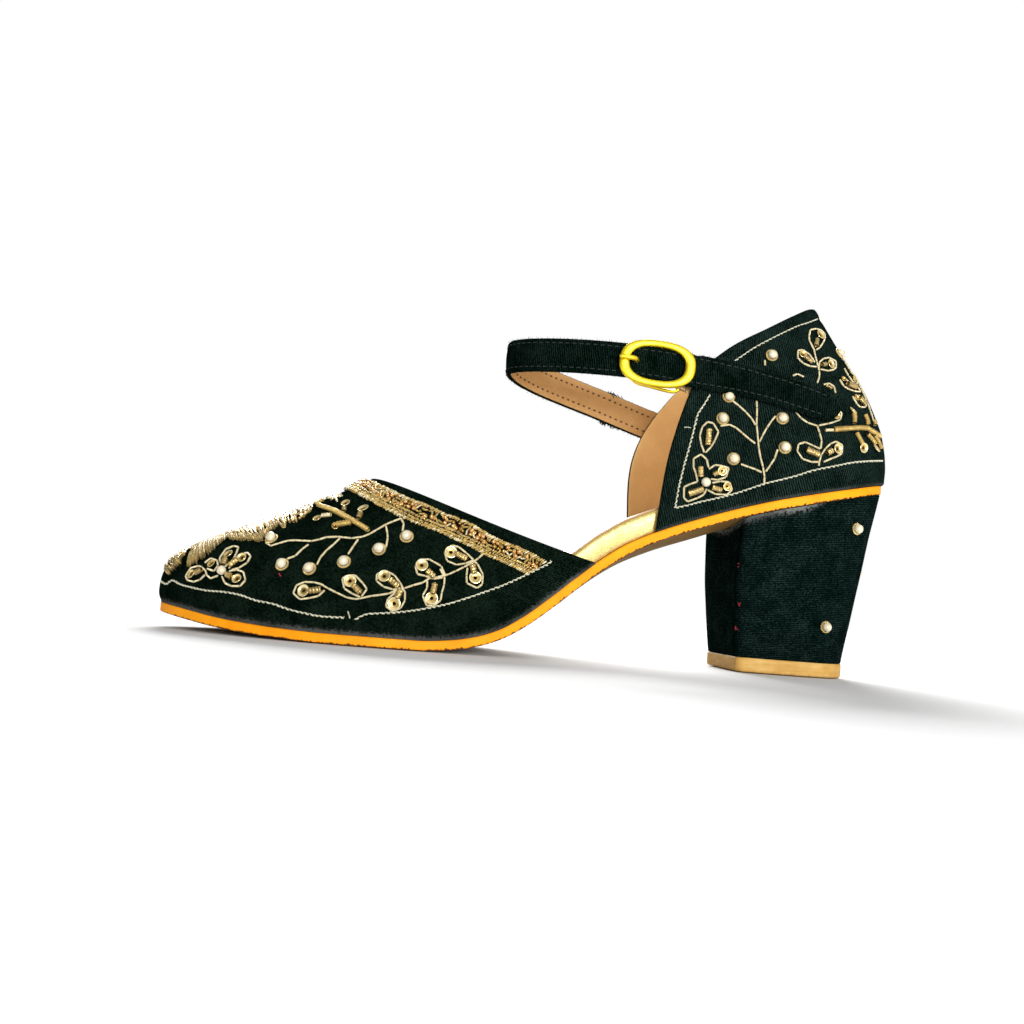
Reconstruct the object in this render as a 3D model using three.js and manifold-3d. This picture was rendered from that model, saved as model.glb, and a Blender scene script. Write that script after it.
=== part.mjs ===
// Left block-heel shoe, closed toe and closed heel with an open waist and a buckled ankle strap.
// Millimetres, +Z up, floor at z = 0. The toe points along -X and the outer (lateral) side is -Y.
// The tables below use a datum under the waist of the shoe; the last lines move the origin
// to the middle of the floor under the shoe.
import * as THREE from "three";
import { mergeVertices } from "three/addons/utils/BufferGeometryUtils.js";
import Module from "manifold-3d";

const wasm = await Module();
wasm.setup();

// ------------------------------------------------------------------ driving sizes
const GAP = 0.3; // clearance left between pieces that meet
const SEAT_GAP = 0.4; // the same where facets of two long curves lie along each other
const SOLE_THICKNESS = 3.0; // outsole sheet, square to its surface
const UPPER_WALL = 2.0; // shell fabric, stiffener and lining together
const UPPER_OVERHANG = 1.0; // the upper stands this far out from the sole edge
const INSOLE_INSET = 2.0; // insole edge inside the sole edge
const INSOLE_WAIST = 5.2; // padded insole where its wrapped edge shows
const INSOLE_TOE = 2.6; // and under the toes, where it is skived
const LIFT_THICKNESS = 4.6; // heel top lift
const STRAP_WIDTH = 10.9;
const STRAP_THICKNESS = 2.0;
const THROAT = { x: -46.8, z: 53.5, fall: 0.398, ease: 0.00105 }; // the throat edge falls towards the waist, a little less steeply as it goes

// Plan outline of the outsole, round the shoe from the back of the heel along the outer side.
const SOLE_OUTLINE = [
  { at: "heel back", x: 124.6, y: 0 },
  { at: "outer heel corner", x: 121.2, y: -12.2 },
  { at: "outer heel turn", x: 112.6, y: -21.8 },
  { at: "outer heel", x: 100, y: -27.2 },
  { at: "outer seat", x: 88, y: -27.8 },
  { at: "outer breast", x: 72, y: -26.4 },
  { at: "outer waist", x: 55, y: -25.6 },
  { at: "outer waist front", x: 39, y: -26.4 },
  { at: "outer vamp corner", x: 23, y: -28.8 },
  { at: "outer joint back", x: 7, y: -32.0 },
  { at: "outer joint", x: -9, y: -35.6 },
  { at: "outer ball", x: -25, y: -38.5 },
  { at: "outer ball front", x: -39, y: -39.3 },
  { at: "small toe", x: -55, y: -37.8 },
  { at: "outer toes", x: -71, y: -33.6 },
  { at: "outer toe turn", x: -86, y: -27.0 },
  { at: "outer tip turn", x: -97.4, y: -19.0 },
  { at: "outer nose", x: -105.8, y: -10.2 },
  { at: "nose", x: -110.2, y: -2.2 },
  { at: "toe tip", x: -110.9, y: 4.0 },
  { at: "inner nose", x: -109.6, y: 10.2 },
  { at: "inner tip turn", x: -104.8, y: 17.2 },
  { at: "big toe", x: -97, y: 23.6 },
  { at: "inner toes", x: -86, y: 29.6 },
  { at: "inner toe back", x: -72, y: 33.8 },
  { at: "inner ball front", x: -58, y: 36.2 },
  { at: "inner ball", x: -44, y: 36.9 },
  { at: "inner joint", x: -30, y: 35.5 },
  { at: "inner joint back", x: -15, y: 32.0 },
  { at: "inner vamp corner", x: 1, y: 27.8 },
  { at: "inner waist front", x: 17, y: 24.6 },
  { at: "inner waist", x: 33, y: 23.0 },
  { at: "inner waist back", x: 49, y: 23.0 },
  { at: "inner breast", x: 65, y: 24.2 },
  { at: "inner seat", x: 81, y: 26.2 },
  { at: "inner heel", x: 94, y: 27.2 },
  { at: "inner heel turn", x: 106, y: 25.4 },
  { at: "inner heel corner", x: 116, y: 18.8 },
  { at: "heel back inner", x: 122.6, y: 9.0 },
];

// Lower edge of the outsole along the shoe: toe spring, flat ball, arch and heel seat. belly is how
// far the middle of the underside hangs below that edge.
const SOLE_PROFILE = [
  { x: -113.4, edge: 5.0, belly: 0 },
  { x: -106, edge: 4.1, belly: 0 },
  { x: -98, edge: 3.0, belly: 0 },
  { x: -88, edge: 1.7, belly: 0 },
  { x: -76, edge: 0.75, belly: 0 },
  { x: -64, edge: 0.2, belly: 0 },
  { x: -56, edge: 0, belly: 0 },
  { x: -28, edge: 0, belly: 0 },
  { x: -18, edge: 0.8, belly: 0 },
  { x: -10, edge: 2.4, belly: 0.3 },
  { x: -3, edge: 5.0, belly: 0.8 },
  { x: 4, edge: 9.2, belly: 1.5 },
  { x: 12, edge: 15.5, belly: 2.1 },
  { x: 20, edge: 22.4, belly: 2.5 },
  { x: 28, edge: 29.0, belly: 2.7 },
  { x: 36, edge: 34.5, belly: 2.9 },
  { x: 46, edge: 39.5, belly: 3.1 },
  { x: 58, edge: 44.2, belly: 3.1 },
  { x: 70, edge: 48.4, belly: 2.7 },
  { x: 82, edge: 52.0, belly: 1.5 },
  { x: 94, edge: 55.0, belly: 0.4 },
  { x: 106, edge: 57.8, belly: 0 },
  { x: 116, edge: 60.2, belly: 0 },
  { x: 126, edge: 62.6, belly: 0 },
];

// Crest of the vamp, and of the last behind the throat, where only the walls exist.
// shift is the crest's offset to the inner side, square is how boxy the cross-section is.
const VAMP_CREST = [
  { x: -111.9, z: 14.2, shift: 4.0, square: 2.5 },
  { x: -111.3, z: 17.2, shift: 4.0, square: 2.5 },
  { x: -109.4, z: 20.6, shift: 4.0, square: 2.45 },
  { x: -105.6, z: 24.2, shift: 4.0, square: 2.4 },
  { x: -100, z: 27.5, shift: 4.0, square: 2.3 },
  { x: -92, z: 31.3, shift: 4.0, square: 2.2 },
  { x: -82, z: 35.6, shift: 4.0, square: 2.1 },
  { x: -70, z: 41.2, shift: 4.0, square: 2.05 },
  { x: -58, z: 47.1, shift: 3.8, square: 2.0 },
  { x: -46.8, z: 53.5, shift: 3.4, square: 1.95 },
  { x: -32, z: 61.4, shift: 3.0, square: 1.95 },
  { x: -14, z: 70, shift: 2.0, square: 1.95 },
  { x: 8, z: 79, shift: 1.0, square: 1.95 },
  { x: 30, z: 86, shift: 0, square: 1.95 },
];

// The quarter (closed heel part) rises from the sole edge to this top line, from the front corner
// round the back. along runs 0 at the front corner to 1 at the back seam; the inner side's
// front corner sits a little further back.
const TOP_LINE = [
  { along: 0.0, x: 54.2, inner_x: 57.0, half: 24.4, z: 95.2 },
  { along: 0.06, x: 57.8, inner_x: 60.0, half: 24.3, z: 98.2 },
  { along: 0.2, x: 65.6, inner_x: 66.6, half: 23.4, z: 104.6 },
  { along: 0.4, x: 76.6, inner_x: 76.9, half: 20.8, z: 111.6 },
  { along: 0.6, x: 86.6, inner_x: 86.6, half: 16.6, z: 118.0 },
  { along: 0.8, x: 94.2, inner_x: 94.2, half: 10.4, z: 122.6 },
  { along: 0.92, x: 97.5, inner_x: 97.5, half: 4.6, z: 124.2 },
  { along: 1.0, x: 98.3, inner_x: 98.3, half: 0, z: 124.5 },
];
// How far the quarter's wall swells outward between the sole and the top line: rise runs 0 to 1.
const QUARTER_SWELL = [
  { rise: 0, back: 0, side: 0, front: 0 },
  { rise: 0.08, back: 2.9, side: 1.0, front: 0.3 },
  { rise: 0.18, back: 5.0, side: 1.9, front: 0.5 },
  { rise: 0.3, back: 6.1, side: 2.4, front: 0.6 },
  { rise: 0.5, back: 5.9, side: 2.3, front: 0.6 },
  { rise: 0.72, back: 3.5, side: 1.5, front: 0.4 },
  { rise: 0.88, back: 1.3, side: 0.6, front: 0.2 },
  { rise: 1, back: 0, side: 0, front: 0 },
];
// Foot of the quarter's front edge, and how far that edge bows forward on each side.
// inner_lift moves the inner bow's deepest point up the edge.
const QUARTER_FRONT = { x: 43.2, outer_bow: 2.5, inner_bow: 7, inner_lift: 1.25 };

// Heel block, from the top lift up to the sole: breast, back and half width at each level.
const HEEL_LEVELS = [
  { level: 0, breast: 74.0, back: 113.2, half: 19.4 },
  { level: 0.12, breast: 73.4, back: 114.2, half: 20.0 },
  { level: 0.35, breast: 72.6, back: 116.4, half: 21.4 },
  { level: 0.6, breast: 72.1, back: 118.6, half: 23.0 },
  { level: 0.85, breast: 72.1, back: 120.9, half: 24.8 },
  { level: 1, breast: 72.4, back: 122.4, half: 26.0 },
];

// Middle of the ankle strap from its sewn end on the inner quarter, round the instep, to the free
// end on the outer quarter. Where follow is 1 the strap lies on the quarter and y is ignored.
const STRAP_PATH = [
  { x: 62, y: 26.2, z: 80.6, follow: 1 },
  { x: 55, y: 26.1, z: 82.4, follow: 1 },
  { x: 48, y: 25.9, z: 84.3, follow: 0 },
  { x: 39, y: 24.6, z: 86.8, follow: 0 },
  { x: 29, y: 22.2, z: 89.4, follow: 0 },
  { x: 18, y: 18.4, z: 91.8, follow: 0 },
  { x: 8, y: 13.6, z: 93.8, follow: 0 },
  { x: 0.5, y: 8.2, z: 95.5, follow: 0 },
  { x: -3.8, y: 2.8, z: 96.8, follow: 0 },
  { x: -4.9, y: -2.6, z: 97.2, follow: 0 },
  { x: -2.8, y: -8.4, z: 97.0, follow: 0 },
  { x: 2.6, y: -14.2, z: 96.6, follow: 0 },
  { x: 11, y: -19.2, z: 96.2, follow: 0 },
  { x: 21, y: -23.2, z: 95.7, follow: 0 },
  { x: 31, y: -25.4, z: 95.2, follow: 0 },
  { x: 41, y: -26.2, z: 94.7, follow: 0 },
  { x: 50, y: -26.4, z: 93.9, follow: 0 },
  { x: 58, y: -26.4, z: 93.1, follow: 1 },
  { x: 68, y: -26.2, z: 91.9, follow: 1 },
  { x: 79, y: -26.2, z: 89.8, follow: 1 },
  { x: 90, y: -26.2, z: 87.1, follow: 1 },
  { x: 99.5, y: -25.0, z: 84.4, follow: 1 },
];
const STRAP_TAIL = { length: 48, width: 9.9, tip: 9 }; // narrower free end, and its rounded tip

const BUCKLE = {
  x: 39.9, // where its middle sits on the strap
  drop: 0.35, // below the strap's middle
  length: 24.2,
  height: 14.8,
  end_bar: 3.2,
  side_bar: 2.1,
  thickness: 1.6,
  rail: 1.1, // wire of the back loop
};
const ELASTIC = { height: 8.4, layer: 0.8, drop: -1.0, slant: 0.2 };

// ------------------------------------------------------------------ curves from tables
// Smooth curve through a table's rows that never overshoots them.
function curve(rows, by, key) {
  const x = rows.map((r) => r[by]),
    y = rows.map((r) => r[key]),
    n = x.length;
  const h = [],
    d = [];
  for (let i = 0; i < n - 1; i++) {
    h.push(x[i + 1] - x[i]);
    d.push((y[i + 1] - y[i]) / h[i]);
  }
  const m = new Array(n).fill(0);
  for (let i = 1; i < n - 1; i++) {
    if (d[i - 1] * d[i] > 0) {
      const a = 2 * h[i] + h[i - 1],
        b = h[i] + 2 * h[i - 1];
      m[i] = (a + b) / (a / d[i - 1] + b / d[i]);
    }
  }
  m[0] = d[0];
  m[n - 1] = d[n - 2];
  return (v) => {
    if (v <= x[0]) return y[0] + m[0] * (v - x[0]);
    if (v >= x[n - 1]) return y[n - 1] + m[n - 1] * (v - x[n - 1]);
    let i = 0;
    while (v > x[i + 1]) i++;
    const t = (v - x[i]) / h[i],
      t2 = t * t,
      t3 = t2 * t;
    return (
      (2 * t3 - 3 * t2 + 1) * y[i] +
      (t3 - 2 * t2 + t) * h[i] * m[i] +
      (3 * t2 - 2 * t3) * y[i + 1] +
      (t3 - t2) * h[i] * m[i + 1]
    );
  };
}

// Closed plan outline through the table's points, then each side as a half width over x.
const OUTLINE_STEPS = 12;
function outlinePoints() {
  const n = SOLE_OUTLINE.length,
    out = [];
  const at = (i) => SOLE_OUTLINE[(i + n) % n];
  for (let i = 0; i < n; i++) {
    const [a, b, c, d] = [at(i - 1), at(i), at(i + 1), at(i + 2)];
    for (let k = 0; k < OUTLINE_STEPS; k++) {
      const t = k / OUTLINE_STEPS;
      const f = (key) =>
        0.5 *
        (2 * b[key] +
          (c[key] - a[key]) * t +
          (2 * a[key] - 5 * b[key] + 4 * c[key] - d[key]) * t * t +
          (3 * b[key] - a[key] - 3 * c[key] + d[key]) * t * t * t);
      out.push([f("x"), f("y")]);
    }
  }
  return out;
}
const OUTLINE = outlinePoints();
// The outline moved outward by off (inward when negative), split into outer and inner sides.
function sides(off) {
  const n = OUTLINE.length;
  const p = OUTLINE.map(([x, y], i) => {
    const a = OUTLINE[(i + n - 1) % n],
      b = OUTLINE[(i + 1) % n];
    const tx = b[0] - a[0],
      ty = b[1] - a[1],
      l = Math.hypot(tx, ty);
    return [x - (ty / l) * off, y + (tx / l) * off];
  });
  let toe = 0,
    heel = 0;
  p.forEach((q, i) => {
    if (q[0] < p[toe][0]) toe = i;
    if (q[0] > p[heel][0]) heel = i;
  });
  const run = (from, to) => {
    const r = [];
    for (let i = from; ; i = (i + 1) % n) {
      r.push(p[i]);
      if (i === to) return r;
    }
  };
  const outer = run(heel, toe).reverse(),
    inner = run(toe, heel);
  const look = (r) => (x) => {
    if (x <= r[0][0]) return r[0][1];
    if (x >= r[r.length - 1][0]) return r[r.length - 1][1];
    let lo = 0,
      hi = r.length - 1;
    while (hi - lo > 1) {
      const mid = (lo + hi) >> 1;
      if (r[mid][0] <= x) lo = mid;
      else hi = mid;
    }
    const t = (x - r[lo][0]) / (r[hi][0] - r[lo][0] || 1);
    return r[lo][1] + t * (r[hi][1] - r[lo][1]);
  };
  return {
    toe: p[toe][0],
    heel: p[heel][0],
    outer: look(outer),
    inner: look(inner),
  };
}

const soleEdge = curve(SOLE_PROFILE, "x", "edge");
const soleBelly = curve(SOLE_PROFILE, "x", "belly");
const slope = (f, x) => (f(x + 0.5) - f(x - 0.5)) / 1.0;
const soleTop = (x) =>
  soleEdge(x) + SOLE_THICKNESS * Math.hypot(1, slope(soleEdge, x));
const SOLE_SIDES = sides(0);
function soleUnder(x, y) {
  const a = SOLE_SIDES.outer(x),
    b = SOLE_SIDES.inner(x);
  const half = Math.max(1, (b - a) / 2),
    t = Math.min(1, Math.abs(y - (a + b) / 2) / half);
  return soleEdge(x) - soleBelly(x) * (1 - t * t) * (1 - t * t);
}
const insoleRise = curve(
  [
    { x: -113, t: INSOLE_TOE },
    { x: -80, t: INSOLE_TOE },
    { x: -40, t: 3.6 },
    { x: 0, t: INSOLE_WAIST },
    { x: 12, t: INSOLE_WAIST + 1 },
    { x: 24, t: INSOLE_WAIST + 1.5 },
    { x: 36, t: INSOLE_WAIST + 1.7 },
    { x: 50, t: INSOLE_WAIST + 1.8 },
    { x: 72, t: INSOLE_WAIST + 1 },
    { x: 126, t: 4.6 },
  ],
  "x",
  "t",
);

// ------------------------------------------------------------------ meshes
// Collects triangles from grids of points and gives one closed geometry.
class Skin {
  constructor() {
    this.p = [];
  }
  tri(a, b, c) {
    const d2 = (p, q) =>
      (p[0] - q[0]) ** 2 + (p[1] - q[1]) ** 2 + (p[2] - q[2]) ** 2;
    if (d2(a, b) < 1e-8 || d2(b, c) < 1e-8 || d2(c, a) < 1e-8) return;
    this.p.push(...a, ...b, ...c);
  }
  // grid[i][j]; faces turn from i towards j
  grid(g, flip = false) {
    for (let i = 0; i + 1 < g.length; i++)
      for (let j = 0; j + 1 < g[i].length; j++) {
        const [a, b, c, d] = [g[i][j], g[i + 1][j], g[i + 1][j + 1], g[i][j + 1]];
        if (flip) {
          this.tri(a, c, b);
          this.tri(a, d, c);
        } else {
          this.tri(a, b, c);
          this.tri(a, c, d);
        }
      }
  }
  // A closed shell from an outer and an inner grid of the same shape. closed: the last column of
  // each grid folds onto itself and needs no edge wall.
  shell(a, b, closed = false) {
    const n = a.length - 1,
      m = a[0].length - 1;
    const column = (g, j) => g.map((r) => r[j]);
    this.grid(a);
    this.grid(b, true);
    this.grid([b[0], a[0]]);
    this.grid([a[n], b[n]]);
    this.grid([column(a, 0), column(b, 0)]);
    if (!closed) this.grid([column(b, m), column(a, m)]);
    return this;
  }
  solid() {
    const g = new THREE.BufferGeometry();
    g.setAttribute("position", new THREE.Float32BufferAttribute(this.p, 3));
    return manifold(g);
  }
}
function manifold(geometry) {
  const g = geometry.clone();
  g.deleteAttribute("normal");
  g.deleteAttribute("uv");
  const m = mergeVertices(g, 1e-4);
  let s = new wasm.Manifold(
    new wasm.Mesh({
      numProp: 3,
      vertProperties: new Float32Array(m.attributes.position.array),
      triVerts: new Uint32Array(m.index.array),
    }),
  );
  return s;
}
function geometryOf(solid) {
  const m = solid.getMesh(),
    n = m.numProp,
    v = new Float32Array(m.numVert * 3);
  for (let i = 0; i < m.numVert; i++)
    v.set(m.vertProperties.subarray(i * n, i * n + 3), i * 3);
  const g = new THREE.BufferGeometry();
  g.setAttribute("position", new THREE.BufferAttribute(v, 3));
  g.setIndex(new THREE.BufferAttribute(new Uint32Array(m.triVerts), 1));
  g.computeVertexNormals();
  return g;
}
const group = new THREE.Group();
function piece(name, solid, colour, roughness, metalness) {
  const mesh = new THREE.Mesh(
    geometryOf(solid),
    new THREE.MeshStandardMaterial({ color: colour, roughness, metalness }),
  );
  mesh.name = name;
  group.add(mesh);
  return mesh;
}
const ease = (n, f) => Array.from({ length: n + 1 }, (_, i) => f(i / n));

// A sheet with a plan outline, and a top and a bottom height: used for the outsole and the insole.
function sheet(side, top, bottom, stations, across, bevel) {
  const tops = [],
    lows = [];
  for (const x of stations) {
    const a = side.outer(x),
      b = side.inner(x);
    tops.push(
      ease(across, (t) => {
        const y = a + (b - a) * (0.5 - 0.5 * Math.cos(Math.PI * t));
        return [x, y, top(x, y)];
      }),
    );
    lows.push(
      ease(across, (t) => {
        const y = a + (b - a) * (0.5 - 0.5 * Math.cos(Math.PI * t));
        return [x, y, bottom(x, y)];
      }),
    );
  }
  return new Skin().shell(tops, lows).solid();
}

// x stations that gather towards both ends, and pass through the flat ball exactly
function stations(from, to, n, fixed = []) {
  const s = ease(n, (t) => from + (to - from) * (0.5 - 0.5 * Math.cos(Math.PI * t)));
  for (const f of fixed) {
    let k = 0;
    s.forEach((v, i) => {
      if (Math.abs(v - f) < Math.abs(s[k] - f)) k = i;
    });
    s[k] = f;
  }
  return s;
}

const outsole = sheet(
  SOLE_SIDES,
  (x) => soleTop(x),
  (x, y) => soleUnder(x, y),
  stations(SOLE_SIDES.toe, SOLE_SIDES.heel, 52, [-56, -28]),
  8,
);
piece("outsole", outsole, 0xf5a41c, 0.6, 0);

const INSOLE_SIDES = sides(-INSOLE_INSET);
const insoleLow = (x) => soleTop(x) + SEAT_GAP;
const insoleTop = (x) =>
  insoleLow(x) + insoleRise(x) * Math.hypot(1, slope(soleEdge, x));
const insole = sheet(
  INSOLE_SIDES,
  (x) => insoleTop(x),
  (x) => insoleLow(x),
  stations(INSOLE_SIDES.toe, INSOLE_SIDES.heel, 40),
  4,
);
piece("insole", insole, 0xd9b45a, 0.5, 0.2);

// ------------------------------------------------------------------ vamp
// Cross-sections square to X: outer wall, crest and inner wall, from the sole edge up.
function vampForm(inset) {
  const side = sides(UPPER_OVERHANG - inset);
  const tip = side.toe;
  const reach = VAMP_CREST.map((r) => ({
    q: Math.sqrt(Math.max(0, r.x - VAMP_CREST[0].x)),
    z: r.z,
    shift: r.shift,
    square: r.square,
  }));
  const crestZ = curve(reach, "q", "z"),
    crestShift = curve(reach, "q", "shift"),
    square = curve(reach, "q", "square");
  const q = (x) => Math.sqrt(Math.max(0, x - tip));
  const drop = (x) => {
    const k = Math.min(1, Math.max(0, (x - tip) / 10));
    return inset * (1 + 0.12 * k);
  };
  return {
    tip,
    // turn runs 0 at the outer sole edge, 1 at the crest, 2 at the inner sole edge
    at(x, turn) {
      const base = soleTop(x) + SEAT_GAP;
      const crest = crestZ(q(x)) - drop(x),
        mid = crestShift(q(x)),
        n = square(q(x));
      const a = (turn * Math.PI) / 2,
        edge = turn <= 1 ? side.outer(x) : side.inner(x);
      const c = Math.pow(Math.abs(Math.cos(a)), 2 / n),
        s = Math.pow(Math.abs(Math.sin(a)), 2 / n);
      const centre = x - tip < 1e-6 ? edge : mid;
      return [x, centre + (edge - centre) * c, base + (crest - base) * s];
    },
  };
}
const throatZ = (x) =>
  THROAT.z - THROAT.fall * (x - THROAT.x) + THROAT.ease * (x - THROAT.x) ** 2;
function vampGrid(form, across, along) {
  const grid = [];
  for (let i = 0; i <= across; i++) {
    const t = i / across; // more lines near the sole edges
    const turn = 2 * (t - 0.08 * Math.sin(2 * Math.PI * t));
    let lo = THROAT.x - 6,
      hi = 40;
    for (let k = 0; k < 50; k++) {
      const m = (lo + hi) / 2;
      if (form.at(m, turn)[2] < throatZ(m)) lo = m;
      else hi = m;
    }
    const start = (lo + hi) / 2;
    grid.push(
      ease(along, (t) => {
        const far = Math.pow(1 - t, 1.7);
        return form.at(form.tip + (start - form.tip) * far, turn);
      }),
    );
  }
  return grid;
}
const VAMP_ACROSS = 28,
  VAMP_ALONG = 24;
const vampOut = vampGrid(vampForm(0), VAMP_ACROSS, VAMP_ALONG);
const vampIn = vampGrid(vampForm(UPPER_WALL), VAMP_ACROSS, VAMP_ALONG);
piece("upper_vamp", new Skin().shell(vampOut, vampIn, true).solid(), 0x0b1512, 0.95, 0);

// ------------------------------------------------------------------ quarter
const QUARTER_SIDES = sides(UPPER_OVERHANG);
const topX = {
  "-1": curve(TOP_LINE, "along", "x"),
  1: curve(TOP_LINE, "along", "inner_x"),
};
const topHalf = curve(TOP_LINE, "along", "half"),
  topZ = curve(TOP_LINE, "along", "z");
const swellBack = curve(QUARTER_SWELL, "rise", "back"),
  swellSide = curve(QUARTER_SWELL, "rise", "side"),
  swellFront = curve(QUARTER_SWELL, "rise", "front");
// foot line of the quarter as points at equal steps along it, from the front to the back
function footLine(side) {
  const pts = [];
  const N = 400;
  for (let i = 0; i <= N; i++) {
    const t = i / N;
    const x =
      QUARTER_FRONT.x +
      (QUARTER_SIDES.heel - QUARTER_FRONT.x) * Math.sin((t * Math.PI) / 2);
    pts.push([x, side < 0 ? QUARTER_SIDES.outer(x) : QUARTER_SIDES.inner(x)]);
  }
  const len = [0];
  for (let i = 1; i <= N; i++)
    len.push(
      len[i - 1] +
        Math.hypot(pts[i][0] - pts[i - 1][0], pts[i][1] - pts[i - 1][1]),
    );
  return (a) => {
    const want = Math.min(1, Math.max(0, a)) * len[N];
    let lo = 0,
      hi = N;
    while (hi - lo > 1) {
      const m = (lo + hi) >> 1;
      if (len[m] <= want) lo = m;
      else hi = m;
    }
    const t = (want - len[lo]) / (len[hi] - len[lo] || 1);
    return [
      pts[lo][0] + t * (pts[hi][0] - pts[lo][0]),
      pts[lo][1] + t * (pts[hi][1] - pts[lo][1]),
    ];
  };
}
const FOOT = { "-1": footLine(-1), 1: footLine(1) };
// around runs -1 at the outer front edge, 0 at the back seam, 1 at the inner front edge
function quarterAt(around, rise) {
  const side = around < 0 ? -1 : 1,
    a = 1 - Math.abs(around);
  const [fx, fy] = FOOT[side](a);
  const foot = [fx, fy, soleTop(fx) + SEAT_GAP],
    top = [topX[side](a), side * topHalf(a), topZ(a)];
  const back = a * a * a,
    front = (1 - a) * (1 - a),
    mid = Math.max(0, 1 - back - front);
  const out =
    swellBack(rise) * back + swellSide(rise) * mid + swellFront(rise) * front;
  // outward in plan, from the foot line's own direction
  const b = FOOT[side](Math.max(0, a - 0.01)),
    c = FOOT[side](Math.min(1, a + 0.01));
  let nx = side * -(c[1] - b[1]),
    ny = side * (c[0] - b[0]);
  if (side * ny < 0 && a < 0.9) {
    nx = -nx;
    ny = -ny;
  }
  const l = Math.hypot(nx, ny) || 1;
  nx /= l;
  ny /= l;
  if (a > 0.985) {
    nx = 1;
    ny = 0;
  }
  const up = Math.max(0, rise),
    bow =
      (side < 0
        ? QUARTER_FRONT.outer_bow * Math.sin(Math.PI * up)
        : QUARTER_FRONT.inner_bow *
          Math.sin(Math.PI * Math.pow(up, QUARTER_FRONT.inner_lift))) *
      Math.pow(1 - a, 4);
  return [
    foot[0] + (top[0] - foot[0]) * rise + nx * out - bow,
    foot[1] + (top[1] - foot[1]) * rise + ny * out,
    foot[2] + (top[2] - foot[2]) * rise + 0.35 * out * back,
  ];
}
function quarterNormal(around, rise) {
  const e = 0.004,
    p = quarterAt,
    ua = Math.min(1, around + e),
    ub = Math.max(-1, around - e),
    va = Math.min(1, rise + e),
    vb = Math.max(0, rise - e);
  const A = new THREE.Vector3(...p(ua, rise)).sub(
      new THREE.Vector3(...p(ub, rise)),
    ),
    B = new THREE.Vector3(...p(around, va)).sub(
      new THREE.Vector3(...p(around, vb)),
    );
  return A.cross(B).normalize(); // outward
}
function quarterOffset(around, rise, off) {
  const p = quarterAt(around, rise),
    n = quarterNormal(around, rise);
  const q = [p[0] + n.x * off, p[1] + n.y * off, p[2] + n.z * off];
  if (rise === 0) q[2] = soleTop(q[0]) + SEAT_GAP;
  return q;
}
const AROUND = 40,
  RISE = 11;
function quarterGrid(off) {
  return ease(AROUND, (t) =>
    ease(RISE, (v) => quarterOffset(2 * t - 1, v, off)),
  );
}
piece(
  "upper_quarter",
  new Skin().shell(quarterGrid(0), quarterGrid(-UPPER_WALL)).solid(),
  0x0b1512,
  0.95,
  0,
);

// ------------------------------------------------------------------ heel block and top lift
const heelBreast = curve(HEEL_LEVELS, "level", "breast"),
  heelBack = curve(HEEL_LEVELS, "level", "back"),
  heelHalf = curve(HEEL_LEVELS, "level", "half");
// Half width share along the heel, 0 at the breast to 1 at the back.
function heelPlan(s) {
  const corner = s < 0.05 ? 1 - 0.07 * Math.pow(1 - s / 0.05, 2) : 1;
  const front = s < 0.4 ? 1 - 0.055 * Math.pow((0.4 - s) / 0.4, 1.6) : 1;
  const round =
    s > 0.4 ? Math.pow(Math.max(0, 1 - Math.pow((s - 0.4) / 0.6, 3.2)), 1 / 2.4) : 1;
  return corner * front * round;
}
function heelAt(s, side, level) {
  const front = heelBreast(level);
  return [
    front + (heelBack(level) - front) * s,
    side * heelHalf(level) * heelPlan(s),
  ];
}
function heelSolid(levels, heights, top, bottom) {
  const N = 24,
    K = 8;
  const S = ease(N, (t) => (t < 0.12 ? (t / 0.12) * 0.05 : 0.05 + 0.95 * Math.sin((((t - 0.12) / 0.88) * Math.PI) / 2)));
  const cap = (level, z) =>
    S.map((s) =>
      ease(K, (t) => {
        const e = heelAt(s, -1, level);
        const y = e[1] * Math.cos(Math.PI * t);
        return [e[0], y, z(e[0], y)];
      }),
    );
  const s = new Skin();
  const L = levels.length - 1;
  s.grid(cap(levels[L], top));
  s.grid(cap(levels[0], bottom), true);
  const wallAt = (side) =>
    levels.map((level, k) =>
      S.map((v) => {
        const [x, y] = heelAt(v, side, level);
        const [tx, ty] = heelAt(v, side, levels[L]);
        const lo = bottom(x, y),
          hi = top(tx, ty);
        return [x, y, lo + (hi - lo) * heights[k]];
      }),
    );
  s.grid(wallAt(-1), true);
  s.grid(wallAt(1));
  const breast = levels.map((level, k) =>
    ease(K, (t) => {
      const e = heelAt(0, -1, level),
        f = heelAt(0, -1, levels[L]);
      const c = Math.cos(Math.PI * t);
      const lo = bottom(e[0], e[1] * c),
        hi = top(f[0], f[1] * c);
      return [e[0], e[1] * c, lo + (hi - lo) * heights[k]];
    }),
  );
  s.grid(breast);
  return s.solid();
}
const heelBase = LIFT_THICKNESS + GAP;
const heelLevels = HEEL_LEVELS.map((r) => r.level);
piece(
  "heel_block",
  heelSolid(
    heelLevels,
    heelLevels,
    (x, y) => soleUnder(x, y) - GAP,
    () => heelBase,
  ),
  0x0b1512,
  0.95,
  0,
);
piece(
  "heel_top_lift",
  heelSolid([0, 0.001], [0, 1], () => LIFT_THICKNESS, () => 0),
  0xe0a850,
  0.5,
  0,
);

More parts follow.
